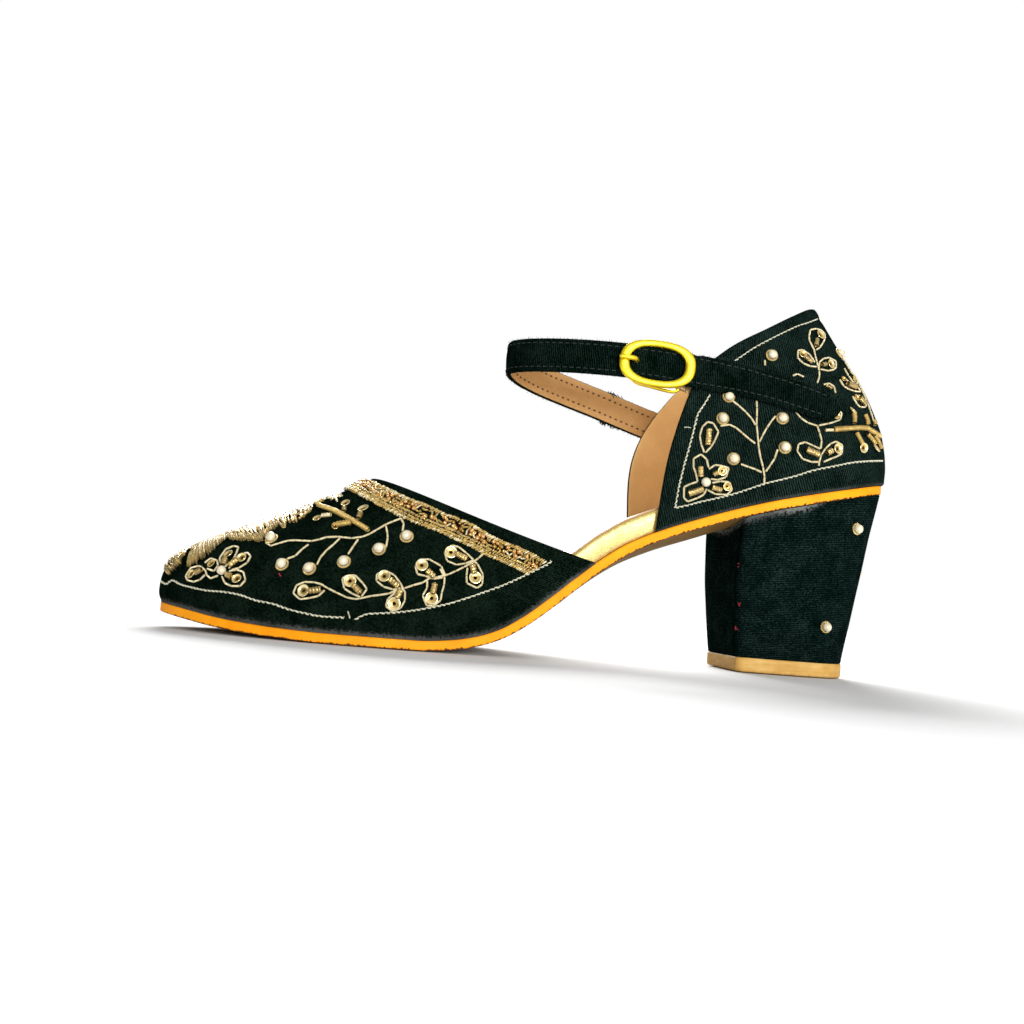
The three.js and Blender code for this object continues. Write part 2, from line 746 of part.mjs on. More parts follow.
// ------------------------------------------------------------------ ankle strap
// Finds the quarter's outer surface at a given x and z on one side.
function quarterFind(x, z, side) {
  let a = side * 0.8,
    r = 0.7;
  for (let k = 0; k < 14; k++) {
    const p = quarterAt(a, r),
      e = 1e-3,
      pa = quarterAt(a + e, r),
      pr = quarterAt(a, r + e);
    const j = [
      (pa[0] - p[0]) / e,
      (pr[0] - p[0]) / e,
      (pa[2] - p[2]) / e,
      (pr[2] - p[2]) / e,
    ];
    const det = j[0] * j[3] - j[1] * j[2];
    const dx = x - p[0],
      dz = z - p[2];
    a += Math.max(-0.2, Math.min(0.2, (dx * j[3] - dz * j[1]) / det));
    r += Math.max(-0.2, Math.min(0.2, (dz * j[0] - dx * j[2]) / det));
    a = side < 0 ? Math.min(-0.02, Math.max(-1.15, a)) : Math.max(0.02, Math.min(1.15, a));
    r = Math.max(0, Math.min(1.1, r));
  }
  return [a, r];
}
// Smooth path through the strap's rows; returns middle, direction and follow at share t.
function strapMiddle(t) {
  const n = STRAP_PATH.length - 1,
    f = Math.min(n - 1e-9, Math.max(0, t * n)),
    i = Math.floor(f),
    u = f - i;
  const at = (k) => STRAP_PATH[Math.min(n, Math.max(0, k))];
  const [a, b, c, d] = [at(i - 1), at(i), at(i + 1), at(i + 2)];
  const v = (key) =>
    0.5 *
    (2 * b[key] +
      (c[key] - a[key]) * u +
      (2 * a[key] - 5 * b[key] + 4 * c[key] - d[key]) * u * u +
      (3 * b[key] - a[key] - 3 * c[key] + d[key]) * u * u * u);
  return { p: [v("x"), v("y"), v("z")], follow: Math.min(1, Math.max(0, v("follow"))) };
}
// One station of the strap: points across its width on the inner face, and the outward direction.
function strapStation(t, across, width) {
  const m = strapMiddle(t),
    a = strapMiddle(Math.max(0, t - 0.004)).p,
    b = strapMiddle(Math.min(1, t + 0.004)).p;
  const T = new THREE.Vector3(b[0] - a[0], b[1] - a[1], b[2] - a[2]).normalize();
  const W = new THREE.Vector3(0, 0, 1).addScaledVector(T, -T.z).normalize();
  const N = new THREE.Vector3().crossVectors(T, W).normalize(); // outward from the ankle
  const side = m.p[1] < 0 ? -1 : 1;
  return ease(across, (k) => {
    const w = (k * 2 - 1) * width;
    const free = new THREE.Vector3(...m.p)
      .addScaledVector(W, w)
      .addScaledVector(N, -STRAP_THICKNESS / 2);
    let p = free,
      n = N.clone();
    if (m.follow > 0) {
      const [qa, qr] = quarterFind(free.x, free.z, side);
      const on = quarterAt(qa, qr),
        qn = quarterNormal(
          Math.max(-0.995, Math.min(0.995, qa)),
          Math.max(0.01, Math.min(0.99, qr)),
        );
      const lie = new THREE.Vector3(...on).addScaledVector(qn, GAP + 0.06);
      p = free.clone().lerp(lie, m.follow);
      n = N.clone().lerp(qn, m.follow).normalize();
    }
    return { p, n };
  });
}
function strapLength() {
  const l = [0];
  let last = null;
  for (let i = 0; i <= 400; i++) {
    const p = new THREE.Vector3(...strapMiddle(i / 400).p);
    if (last) l.push(l[l.length - 1] + p.distanceTo(last));
    last = p;
  }
  return l;
}
const STRAP_LEN = strapLength();
function strapShare(d) {
  // share of the table at a distance along the strap
  let i = 0;
  while (i < 399 && STRAP_LEN[i + 1] < d) i++;
  return (i + (d - STRAP_LEN[i]) / (STRAP_LEN[i + 1] - STRAP_LEN[i])) / 400;
}
function strapHalf(d) {
  const left = STRAP_LEN[400] - d,
    tail = Math.min(1, Math.max(0, 1 - left / STRAP_TAIL.length)),
    full = (STRAP_WIDTH - (STRAP_WIDTH - STRAP_TAIL.width) * Math.min(1, tail * 2)) / 2;
  if (left >= STRAP_TAIL.tip) return full;
  const k = 1 - left / STRAP_TAIL.tip;
  return full * Math.sqrt(Math.max(0.012, 1 - Math.pow(k, 2.4)));
}
const STRAP_STEPS = 62;
let strapSolid;
{
  const inner = [],
    outer = [];
  const total = STRAP_LEN[400];
  for (let i = 0; i <= STRAP_STEPS; i++) {
    const u = i / STRAP_STEPS;
    const d = total * (u < 0.92 ? (u / 0.92) * 0.955 : 0.955 + 0.045 * Math.sin((((u - 0.92) / 0.08) * Math.PI) / 2));
    const row = strapStation(strapShare(d), 4, strapHalf(d));
    inner.push(row.map((q) => q.p.toArray()));
    outer.push(row.map((q) => q.p.clone().addScaledVector(q.n, STRAP_THICKNESS).toArray()));
  }
  strapSolid = new Skin().shell(outer, inner).solid();
}

// ------------------------------------------------------------------ buckle
// The buckle's own frame: along the strap, up across it, and out from it.
function strapFrameAt(x) {
  let best = 0,
    gap = 1e9;
  for (let i = 0; i <= 800; i++) {
    const p = strapMiddle(i / 800).p;
    if (p[1] < 0 && Math.abs(p[0] - x) < gap) {
      gap = Math.abs(p[0] - x);
      best = i / 800;
    }
  }
  const p = strapMiddle(best).p,
    a = strapMiddle(best - 0.004).p,
    b = strapMiddle(best + 0.004).p;
  const T = new THREE.Vector3(b[0] - a[0], b[1] - a[1], b[2] - a[2]).normalize();
  const W = new THREE.Vector3(0, 0, 1).addScaledVector(T, -T.z).normalize();
  const N = new THREE.Vector3().crossVectors(T, W).normalize();
  return { p: new THREE.Vector3(...p), T, W, N };
}
const SEAT = strapFrameAt(BUCKLE.x);
const toSeat = new THREE.Matrix4().makeBasis(SEAT.T, SEAT.W, SEAT.N).setPosition(SEAT.p);
const place = (g) => manifold(g.applyMatrix4(toSeat));
function ovalPath(path, length, height, n = 40) {
  const a = length / 2,
    b = height / 2,
    k = 2.6;
  for (let i = 0; i < n; i++) {
    const t = (i / n) * 2 * Math.PI,
      c = Math.cos(t),
      s = Math.sin(t);
    const x = a * Math.sign(c) * Math.pow(Math.abs(c), 2 / k),
      y = b * Math.sign(s) * Math.pow(Math.abs(s), 2 / k);
    if (i === 0) path.moveTo(x, y);
    else path.lineTo(x, y);
  }
  path.closePath();
  return path;
}
const half = STRAP_THICKNESS / 2;
const RING_LOW = half + GAP + 0.25;
const box = (t, w, n, dt, dw, dn) =>
  new THREE.BoxGeometry(dt, dw, dn).translate(t, w, n);
// A plate whose outline lies square to the strap's width, from rows of t and n, centred on w.
// slant lets it drop along the strap.
function slab(rows, w, width, hole, slant = 0) {
  const shape = new THREE.Shape(rows.map((r) => new THREE.Vector2(r.t, r.n)));
  if (hole) shape.holes.push(new THREE.Path(hole.map((r) => new THREE.Vector2(r.t, r.n))));
  return place(
    new THREE.ExtrudeGeometry(shape, { depth: width, bevelEnabled: false })
      .translate(0, 0, -width / 2 - w)
      .rotateX(Math.PI / 2)
      .applyMatrix4(new THREE.Matrix4().makeShear(-slant, 0, 0, 0, 0, 0))
      .translate(0, slant * BAR.t, 0),
  );
}
const RAIL_W = STRAP_WIDTH / 2 + GAP + BUCKLE.rail / 2;
const BAR = { t: 8.4, n: -(half + GAP + 1.05 + GAP + BUCKLE.rail / 2) };
{
  const shape = ovalPath(new THREE.Shape(), BUCKLE.length, BUCKLE.height);
  shape.holes.push(
    ovalPath(
      new THREE.Path(),
      BUCKLE.length - 2 * BUCKLE.end_bar,
      BUCKLE.height - 2 * BUCKLE.side_bar,
    ),
  );
  let ring = place(
    new THREE.ExtrudeGeometry(shape, {
      depth: BUCKLE.thickness,
      bevelEnabled: false,
      curveSegments: 1,
    }).translate(0, -BUCKLE.drop, RING_LOW),
  );
  // the back loop: a rail each side of the strap slopes from the front end of the ring to the
  // bar behind the strap that the elastic is folded over
  const r = BUCKLE.rail / 2;
  const rail = [
    { t: -8.2, n: RING_LOW + 0.9 },
    { t: -9.0, n: RING_LOW + 0.2 },
    { t: -8.6, n: RING_LOW - 0.7 },
    { t: 2.0, n: BAR.n - r },
    { t: BAR.t + r, n: BAR.n - r },
    { t: BAR.t + r, n: BAR.n + r },
    { t: 3.0, n: BAR.n + r + 0.1 },
    { t: -6.4, n: RING_LOW + 0.9 },
  ];
  for (const w of [-1, 1]) ring = ring.add(slab(rail, w * RAIL_W, BUCKLE.rail));
  ring = ring.add(place(box(BAR.t, 0, BAR.n, 2 * r, 2 * RAIL_W, 2 * r)));
  piece("buckle_frame", ring, 0xf2c52a, 0.25, 1);
}
// The tongue comes up through a hole in the strap and lies on the frame's front end.
{
  const lift = RING_LOW + BUCKLE.thickness + GAP + 0.7;
  const hole = place(
    new THREE.CylinderGeometry(1.25, 1.25, 8, 12).rotateX(Math.PI / 2).translate(-5.4, 0, 0),
  );
  strapSolid = strapSolid.subtract(hole);
  const bend = new THREE.CatmullRomCurve3([
    new THREE.Vector3(-12.2, 0, lift - 0.1),
    new THREE.Vector3(-10.6, 0, lift),
    new THREE.Vector3(-8.4, 0, lift - 0.1),
    new THREE.Vector3(-6.4, 0, lift - 1.1),
    new THREE.Vector3(-5.4, 0, half + 0.4),
    new THREE.Vector3(-5.4, 0, -half - 0.6),
  ]);
  const section = new THREE.Shape();
  for (let i = 0; i < 8; i++) {
    const t = (i / 8) * 2 * Math.PI;
    if (i === 0) section.moveTo(0.7 * Math.cos(t), 0.7 * Math.sin(t));
    else section.lineTo(0.7 * Math.cos(t), 0.7 * Math.sin(t));
  }
  section.closePath();
  piece(
    "buckle_tongue",
    place(new THREE.ExtrudeGeometry(section, { steps: 16, extrudePath: bend, curveSegments: 1 })),
    0xf2c52a,
    0.25,
    1,
  );
}
piece("ankle_strap", strapSolid, 0x0b1512, 0.95, 0);

// ------------------------------------------------------------------ elastic loop
// An elastic folded over the buckle's bar and sewn inside the quarter's outer front edge.
{
  const r = BUCKLE.rail / 2 + GAP,
    o = r + ELASTIC.layer;
  const fold = [
    { t: BAR.t, n: BAR.n + o },
    { t: BAR.t - o * 0.7, n: BAR.n + o * 0.7 },
    { t: BAR.t - o, n: BAR.n },
    { t: BAR.t - o * 0.7, n: BAR.n - o * 0.7 },
    { t: BAR.t, n: BAR.n - o },
    { t: BAR.t + 2.4, n: BAR.n - o },
    { t: 15, n: BAR.n - 2.7 },
    { t: 21, n: BAR.n - 2.9 },
    { t: 21, n: BAR.n - 1.0 },
    { t: 15, n: BAR.n - 0.8 },
    { t: 12.6, n: BAR.n - 0.5 },
    { t: 11.2, n: BAR.n + 0.2 },
    { t: BAR.t + 1.0, n: BAR.n + o },
  ];
  const gap = [
    { t: BAR.t - r, n: BAR.n - r },
    { t: BAR.t + r, n: BAR.n - r },
    { t: BAR.t + r, n: BAR.n + r },
    { t: BAR.t - r, n: BAR.n + r },
  ];
  let elastic = slab(fold, ELASTIC.drop, ELASTIC.height, gap, ELASTIC.slant);
  // it stays clear of the quarter that it is sewn to
  const keep = new Skin().shell(quarterGrid(1.2), quarterGrid(-UPPER_WALL - GAP));
  elastic = elastic.subtract(keep.solid());
  const parts = elastic.decompose().sort((a, b) => b.volume() - a.volume());
  piece("elastic_loop", parts[0], 0xd8b070, 0.8, 0);
}

// ------------------------------------------------------------------ origin under the middle of the shoe
const bounds = new THREE.Box3().setFromObject(group);
group.position.set(
  -(bounds.min.x + bounds.max.x) / 2,
  -(bounds.min.y + bounds.max.y) / 2,
  0,
);
export default group;
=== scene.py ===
import math

import bpy
import numpy as np
from mathutils import Matrix, Vector
from mathutils.bvhtree import BVHTree


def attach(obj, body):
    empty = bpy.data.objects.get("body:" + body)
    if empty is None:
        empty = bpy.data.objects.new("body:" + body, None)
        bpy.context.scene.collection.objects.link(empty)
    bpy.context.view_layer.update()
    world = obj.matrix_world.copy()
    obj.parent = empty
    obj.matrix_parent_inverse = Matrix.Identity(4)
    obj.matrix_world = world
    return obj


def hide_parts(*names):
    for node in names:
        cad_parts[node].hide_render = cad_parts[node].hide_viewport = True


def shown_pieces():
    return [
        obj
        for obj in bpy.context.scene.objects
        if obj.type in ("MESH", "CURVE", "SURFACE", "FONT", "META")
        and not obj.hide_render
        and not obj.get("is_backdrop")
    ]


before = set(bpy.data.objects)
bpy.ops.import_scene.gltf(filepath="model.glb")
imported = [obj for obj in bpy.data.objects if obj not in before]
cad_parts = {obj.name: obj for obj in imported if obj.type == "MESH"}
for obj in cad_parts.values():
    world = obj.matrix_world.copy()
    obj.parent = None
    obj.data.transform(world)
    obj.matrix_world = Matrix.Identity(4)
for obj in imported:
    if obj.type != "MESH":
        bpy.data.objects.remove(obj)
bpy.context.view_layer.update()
OFF = np.array([-7.1939, 1.2169, 0.0])
rng = np.random.default_rng(71)

# ------------------------------------------------------------------ sizes shared with the solids
SEAT_GAP = 0.4
SOLE_THICKNESS = 3.0
UPPER_WALL = 2.0
UPPER_OVERHANG = 1.0
INSOLE_INSET = 2.0
LIFT_THICKNESS = 4.6
STRAP_WIDTH = 10.9
STRAP_THICKNESS = 2.0
TAIL_LENGTH, TAIL_WIDTH, TAIL_TIP = 48, 9.9, 9
THROAT_X, THROAT_Z, THROAT_FALL, THROAT_EASE = -46.8, 53.5, 0.398, 0.00105

SOLE_OUTLINE = [
    (124.6, 0), (121.2, -12.2), (112.6, -21.8), (100, -27.2), (88, -27.8), (72, -26.4), (55, -25.6),
    (39, -26.4), (23, -28.8), (7, -32.0), (-9, -35.6), (-25, -38.5), (-39, -39.3), (-55, -37.8),
    (-71, -33.6), (-86, -27.0), (-97.4, -19.0), (-105.8, -10.2), (-110.2, -2.2), (-110.9, 4.0),
    (-109.6, 10.2), (-104.8, 17.2), (-97, 23.6), (-86, 29.6), (-72, 33.8), (-58, 36.2), (-44, 36.9),
    (-30, 35.5), (-15, 32.0), (1, 27.8), (17, 24.6), (33, 23.0), (49, 23.0), (65, 24.2), (81, 26.2),
    (94, 27.2), (106, 25.4), (116, 18.8), (122.6, 9.0),
]
# x, lower edge, belly of the underside below it
SOLE_PROFILE = [
    (-113.4, 5.0, 0), (-106, 4.1, 0), (-98, 3.0, 0), (-88, 1.7, 0), (-76, 0.75, 0), (-64, 0.2, 0),
    (-56, 0, 0), (-28, 0, 0), (-18, 0.8, 0), (-10, 2.4, 0.3), (-3, 5.0, 0.8), (4, 9.2, 1.5),
    (12, 15.5, 2.1), (20, 22.4, 2.5), (28, 29.0, 2.7), (36, 34.5, 2.9), (46, 39.5, 3.1),
    (58, 44.2, 3.1), (70, 48.4, 2.7), (82, 52.0, 1.5), (94, 55.0, 0.4), (106, 57.8, 0),
    (116, 60.2, 0), (126, 62.6, 0),
]
# x, crest height, crest shift to the inner side, how boxy the section is
VAMP_CREST = [
    (-111.9, 14.2, 4.0, 2.5), (-111.3, 17.2, 4.0, 2.5), (-109.4, 20.6, 4.0, 2.45),
    (-105.6, 24.2, 4.0, 2.4), (-100, 27.5, 4.0, 2.3), (-92, 31.3, 4.0, 2.2), (-82, 35.6, 4.0, 2.1),
    (-70, 41.2, 4.0, 2.05), (-58, 47.1, 3.8, 2.0), (-46.8, 53.5, 3.4, 1.95), (-32, 61.4, 3.0, 1.95),
    (-14, 70, 2.0, 1.95), (8, 79, 1.0, 1.95), (30, 86, 0, 1.95),
]
# along from the front corner, x outside, x inside, half width, height
TOP_LINE = [
    (0.0, 54.2, 57.0, 24.4, 95.2), (0.06, 57.8, 60.0, 24.3, 98.2), (0.2, 65.6, 66.6, 23.4, 104.6),
    (0.4, 76.6, 76.9, 20.8, 111.6), (0.6, 86.6, 86.6, 16.6, 118.0), (0.8, 94.2, 94.2, 10.4, 122.6),
    (0.92, 97.5, 97.5, 4.6, 124.2), (1.0, 98.3, 98.3, 0, 124.5),
]
# rise, outward swell at back, side and front
QUARTER_SWELL = [
    (0, 0, 0, 0), (0.08, 2.9, 1.0, 0.3), (0.18, 5.0, 1.9, 0.5), (0.3, 6.1, 2.4, 0.6),
    (0.5, 5.9, 2.3, 0.6), (0.72, 3.5, 1.5, 0.4), (0.88, 1.3, 0.6, 0.2), (1, 0, 0, 0),
]
QUARTER_FRONT_X, OUTER_BOW, INNER_BOW, INNER_LIFT = 43.2, 2.5, 7.0, 1.25
# level, breast, back, half width
HEEL_LEVELS = [
    (0, 74.0, 113.2, 19.4), (0.12, 73.4, 114.2, 20.0), (0.35, 72.6, 116.4, 21.4),
    (0.6, 72.1, 118.6, 23.0), (0.85, 72.1, 120.9, 24.8), (1, 72.4, 122.4, 26.0),
]
# x, y, z, 1 where it lies on the quarter
STRAP_PATH = [
    (62, 26.2, 80.6, 1), (55, 26.1, 82.4, 1), (48, 25.9, 84.3, 0), (39, 24.6, 86.8, 0),
    (29, 22.2, 89.4, 0), (18, 18.4, 91.8, 0), (8, 13.6, 93.8, 0), (0.5, 8.2, 95.5, 0),
    (-3.8, 2.8, 96.8, 0), (-4.9, -2.6, 97.2, 0), (-2.8, -8.4, 97.0, 0), (2.6, -14.2, 96.6, 0),
    (11, -19.2, 96.2, 0), (21, -23.2, 95.7, 0), (31, -25.4, 95.2, 0), (41, -26.2, 94.7, 0),
    (50, -26.4, 93.9, 0), (58, -26.4, 93.1, 1), (68, -26.2, 91.9, 1), (79, -26.2, 89.8, 1),
    (90, -26.2, 87.1, 1), (99.5, -25.0, 84.4, 1),
]


# ------------------------------------------------------------------ curves from tables
def curve(x, y):
    x, y = np.array(x, float), np.array(y, float)
    h = np.diff(x)
    d = np.diff(y) / h
    m = np.zeros(len(x))
    for i in range(1, len(x) - 1):
        if d[i - 1] * d[i] > 0:
            a, b = 2 * h[i] + h[i - 1], h[i] + 2 * h[i - 1]
            m[i] = (a + b) / (a / d[i - 1] + b / d[i])
    m[0], m[-1] = d[0], d[-1]

    def f(v):
        v = np.asarray(v, float)
        i = np.clip(np.searchsorted(x, v, side="right") - 1, 0, len(x) - 2)
        t = (v - x[i]) / h[i]
        t2, t3 = t * t, t * t * t
        r = (
            (2 * t3 - 3 * t2 + 1) * y[i]
            + (t3 - 2 * t2 + t) * h[i] * m[i]
            + (3 * t2 - 2 * t3) * y[i + 1]
            + (t3 - t2) * h[i] * m[i + 1]
        )
        r = np.where(v <= x[0], y[0] + m[0] * (v - x[0]), r)
        return np.where(v >= x[-1], y[-1] + m[-1] * (v - x[-1]), r)

    return f


def columns(rows):
    return [np.array(c, float) for c in zip(*rows)]


def catmull(rows, steps, closed=False):
    p = np.array(rows, float)
    n = len(p)
    out = []
    for i in range(n if closed else n - 1):
        if closed:
            a, b, c, d = p[(i - 1) % n], p[i], p[(i + 1) % n], p[(i + 2) % n]
        else:
            a, b, c, d = p[max(0, i - 1)], p[i], p[i + 1], p[min(n - 1, i + 2)]
        t = (np.arange(steps) / steps)[:, None]
        out.append(
            0.5
            * (
                2 * b
                + (c - a) * t
                + (2 * a - 5 * b + 4 * c - d) * t**2
                + (3 * b - a - 3 * c + d) * t**3
            )
        )
    if not closed:
        out.append(p[-1:])
    return np.concatenate(out)


OUTLINE = catmull(SOLE_OUTLINE, 12, closed=True)


class Sides:
    """The sole outline moved outward by off, as an outer and an inner side over x."""

    def __init__(self, off):
        a, b = np.roll(OUTLINE, 1, 0), np.roll(OUTLINE, -1, 0)
        t = b - a
        t /= np.linalg.norm(t, axis=1)[:, None]
        p = OUTLINE + off * np.stack([-t[:, 1], t[:, 0]], 1)
        n = len(p)
        toe, heel = int(p[:, 0].argmin()), int(p[:, 0].argmax())

        def run(i, j):
            k = [i]
            while k[-1] != j:
                k.append((k[-1] + 1) % n)
            return p[k]

        self.o, self.i = run(heel, toe)[::-1], run(toe, heel)
        self.toe, self.heel = p[toe, 0], p[heel, 0]

    def outer(self, x):
        return np.interp(x, self.o[:, 0], self.o[:, 1])

    def inner(self, x):
        return np.interp(x, self.i[:, 0], self.i[:, 1])


_px, _pe, _pb = columns(SOLE_PROFILE)
sole_edge, sole_belly = curve(_px, _pe), curve(_px, _pb)


def slope(f, x):
    return f(np.asarray(x, float) + 0.5) - f(np.asarray(x, float) - 0.5)


def sole_top(x):
    return sole_edge(x) + SOLE_THICKNESS * np.hypot(1, slope(sole_edge, x))


SOLE_SIDES = Sides(0)


def sole_under(x, y):
    a, b = SOLE_SIDES.outer(x), SOLE_SIDES.inner(x)
    half = np.maximum(1, (b - a) / 2)
    t = np.minimum(1, np.abs(y - (a + b) / 2) / half)
    return sole_edge(x) - sole_belly(x) * (1 - t * t) ** 2


insole_rise = curve([-113, -80, -40, 0, 12, 24, 36, 50, 72, 126], [2.6, 2.6, 3.6, 5.2, 6.1, 6.3, 6.5, 6.8, 6.2, 4.6])


def insole_low(x):
    return sole_top(x) + SEAT_GAP


def insole_top(x):
    return insole_low(x) + insole_rise(x) * np.hypot(1, slope(sole_edge, x))


class Vamp:
    def __init__(self, inset):
        self.inset = inset
        self.side = Sides(UPPER_OVERHANG - inset)
        self.tip = self.side.toe
        x, z, shift, square = columns(VAMP_CREST)
        q = np.sqrt(np.maximum(0, x - x[0]))
        self.z, self.shift, self.square = curve(q, z), curve(q, shift), curve(q, square)

    def at(self, x, turn):
        q = np.sqrt(np.maximum(0, x - self.tip))
        base = sole_top(x) + SEAT_GAP
        k = np.clip((x - self.tip) / 10, 0, 1)
        crest = self.z(q) - self.inset * (1 + 0.12 * k)
        mid, n = self.shift(q), self.square(q)
        a = turn * math.pi / 2
        edge = np.where(turn <= 1, self.side.outer(x), self.side.inner(x))
        c = np.abs(np.cos(a)) ** (2 / n)
        s = np.abs(np.sin(a)) ** (2 / n)
        centre = np.where(x - self.tip < 1e-6, edge, mid)
        return np.stack([x + 0 * turn, centre + (edge - centre) * c, base + (crest - base) * s], -1)

    def start(self, turn):
        lo, hi = np.full_like(turn, THROAT_X - 6), np.full_like(turn, 40.0)
        for _ in range(50):
            m = (lo + hi) / 2
            throat = THROAT_Z - THROAT_FALL * (m - THROAT_X) + THROAT_EASE * (m - THROAT_X) ** 2
            under = self.at(m, turn)[..., 2] < throat
            lo, hi = np.where(under, m, lo), np.where(under, hi, m)
        return (lo + hi) / 2


QUARTER_SIDES = Sides(UPPER_OVERHANG)
_a, _xo, _xi, _hf, _zz = columns(TOP_LINE)
top_x = {-1: curve(_a, _xo), 1: curve(_a, _xi)}
top_half, top_z = curve(_a, _hf), curve(_a, _zz)
_r, _b, _s, _f = columns(QUARTER_SWELL)
swell_back, swell_side, swell_front = curve(_r, _b), curve(_r, _s), curve(_r, _f)


def foot_line(side):
    t = np.linspace(0, 1, 401)
    x = QUARTER_FRONT_X + (QUARTER_SIDES.heel - QUARTER_FRONT_X) * np.sin(t * math.pi / 2)
    y = QUARTER_SIDES.outer(x) if side < 0 else QUARTER_SIDES.inner(x)
    run = np.concatenate([[0], np.cumsum(np.hypot(np.diff(x), np.diff(y)))])

    def f(a):
        w = np.clip(a, 0, 1) * run[-1]
        return np.interp(w, run, x), np.interp(w, run, y)

    return f


FOOT = {-1: foot_line(-1), 1: foot_line(1)}


def quarter_at(around, rise):
    around, rise = np.broadcast_arrays(np.asarray(around, float), np.asarray(rise, float))
    res = np.zeros(around.shape + (3,))
    for side in (-1, 1):
        a = 1 - np.abs(around)
        fx, fy = FOOT[side](a)
        tx, ty, tz = top_x[side](a), side * top_half(a), top_z(a)
        fz = sole_top(fx) + SEAT_GAP
        back, front = a**3, (1 - a) ** 2
        mid = np.maximum(0, 1 - back - front)
        out = swell_back(rise) * back + swell_side(rise) * mid + swell_front(rise) * front
        bx, by = FOOT[side](np.maximum(0, a - 0.01))
        cx, cy = FOOT[side](np.clip(a + 0.01, 0.01, 1))
        nx, ny = side * -(cy - by), side * (cx - bx)
        turn = (side * ny < 0) & (a < 0.9)
        nx, ny = np.where(turn, -nx, nx), np.where(turn, -ny, ny)
        l = np.hypot(nx, ny)
        nx, ny = nx / l, ny / l
        # the plan normal settles to straight back over the last stretch to the seam
        w = np.clip((a - 0.93) / 0.07, 0, 1)
        w = w * w * (3 - 2 * w)
        nx, ny = nx + (1 - nx) * w, ny * (1 - w)
        up = np.maximum(0, rise)
        if side < 0:
            bow = OUTER_BOW * np.sin(math.pi * up)
        else:
            bow = INNER_BOW * np.sin(math.pi * up**INNER_LIFT)
        bow = bow * np.abs(1 - a) ** 4
        p = np.stack(
            [
                fx + (tx - fx) * rise + nx * out - bow,
                fy + (ty - fy) * rise + ny * out,
                fz + (tz - fz) * rise + 0.35 * out * back,
            ],
            -1,
        )
        use = (around < 0) if side < 0 else (around >= 0)
        res[use] = p[use]
    return res


def quarter_normal(around, rise):
    e = 0.004
    a = quarter_at(np.minimum(1, around + e), rise) - quarter_at(np.maximum(-1, around - e), rise)
    b = quarter_at(around, np.minimum(1, rise + e)) - quarter_at(around, np.maximum(0, rise - e))
    n = np.cross(a, b)
    return n / np.linalg.norm(n, axis=-1)[..., None]


def quarter_find(x, z, side):
    a, r = np.full_like(x, side * 0.8), np.full_like(x, 0.7)
    e = 1e-3
    for _ in range(14):
        p, pa, pr = quarter_at(a, r), quarter_at(a + e, r), quarter_at(a, r + e)
        j0, j1 = (pa[..., 0] - p[..., 0]) / e, (pr[..., 0] - p[..., 0]) / e
        j2, j3 = (pa[..., 2] - p[..., 2]) / e, (pr[..., 2] - p[..., 2]) / e
        det = j0 * j3 - j1 * j2
        det = np.where(np.abs(det) < 1e-9, 1e-9, det)
        dx, dz = x - p[..., 0], z - p[..., 2]
        a = a + np.clip((dx * j3 - dz * j1) / det, -0.2, 0.2)
        r = r + np.clip((dz * j0 - dx * j2) / det, -0.2, 0.2)
        a = np.clip(a, -1.15, -0.02) if side < 0 else np.clip(a, 0.02, 1.15)
        r = np.clip(r, 0, 1.1)
    return a, r


# ------------------------------------------------------------------ meshes
def unit(v):
    return v / np.maximum(np.linalg.norm(v, axis=-1), 1e-12)[..., None]


def put(name, V, faces, mats, which=None, smooth=True, attrs=None, weld=False):
    """Makes one mesh object. V in millimetres; faces is a list of index arrays (n, 3) or (n, 4);
    which is a material index for each face, in the same order; attrs holds values per vertex."""
    V = np.asarray(V, float)
    me = bpy.data.meshes.new(name)
    me.vertices.add(len(V))
    me.vertices.foreach_set("co", ((V + OFF) / 1000).astype(np.float32).ravel())
    loops = np.concatenate([f.ravel() for f in faces]).astype(np.int32)
    sizes = np.concatenate([np.full(len(f), f.shape[1]) for f in faces])
    starts = np.concatenate([[0], np.cumsum(sizes)[:-1]]).astype(np.int32)
    me.loops.add(len(loops))
    me.loops.foreach_set("vertex_index", loops)
    me.polygons.add(len(sizes))
    me.polygons.foreach_set("loop_start", starts)
    if which is not None:
        me.polygons.foreach_set("material_index", np.asarray(which, np.int32))
    for key, val in (attrs or {}).items():
        val = np.asarray(val, np.float32)
        kind = "FLOAT" if val.ndim == 1 else "FLOAT_VECTOR"
        at = me.attributes.new(key, kind, "POINT")
        at.data.foreach_set("value" if kind == "FLOAT" else "vector", val.ravel())
    me.update(calc_edges=True)
    me.validate(clean_customdata=False)
    if weld:
        import bmesh

        bm = bmesh.new()
        bm.from_mesh(me)
        bmesh.ops.remove_doubles(bm, verts=bm.verts, dist=2e-6)
        bmesh.ops.dissolve_degenerate(bm, edges=bm.edges, dist=1e-7)
        bm.to_mesh(me)
        bm.free()
    me.polygons.foreach_set("use_smooth", np.full(len(me.polygons), bool(smooth)))
    for m in mats:
        me.materials.append(m)
    ob = bpy.data.objects.new(name, me)
    bpy.context.scene.collection.objects.link(ob)
    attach(ob, "root")
    return ob


def grid_faces(n, m, flip=False, wrap_i=False, wrap_j=False, base=0):
    i = np.arange(n if wrap_i else n - 1)
    j = np.arange(m if wrap_j else m - 1)
    i, j = np.meshgrid(i, j, indexing="ij")
    i2, j2 = (i + 1) % n, (j + 1) % m
    q = np.stack([i * m + j, i2 * m + j, i2 * m + j2, i * m + j2], -1).reshape(-1, 4) + base
    return q[:, ::-1] if flip else q


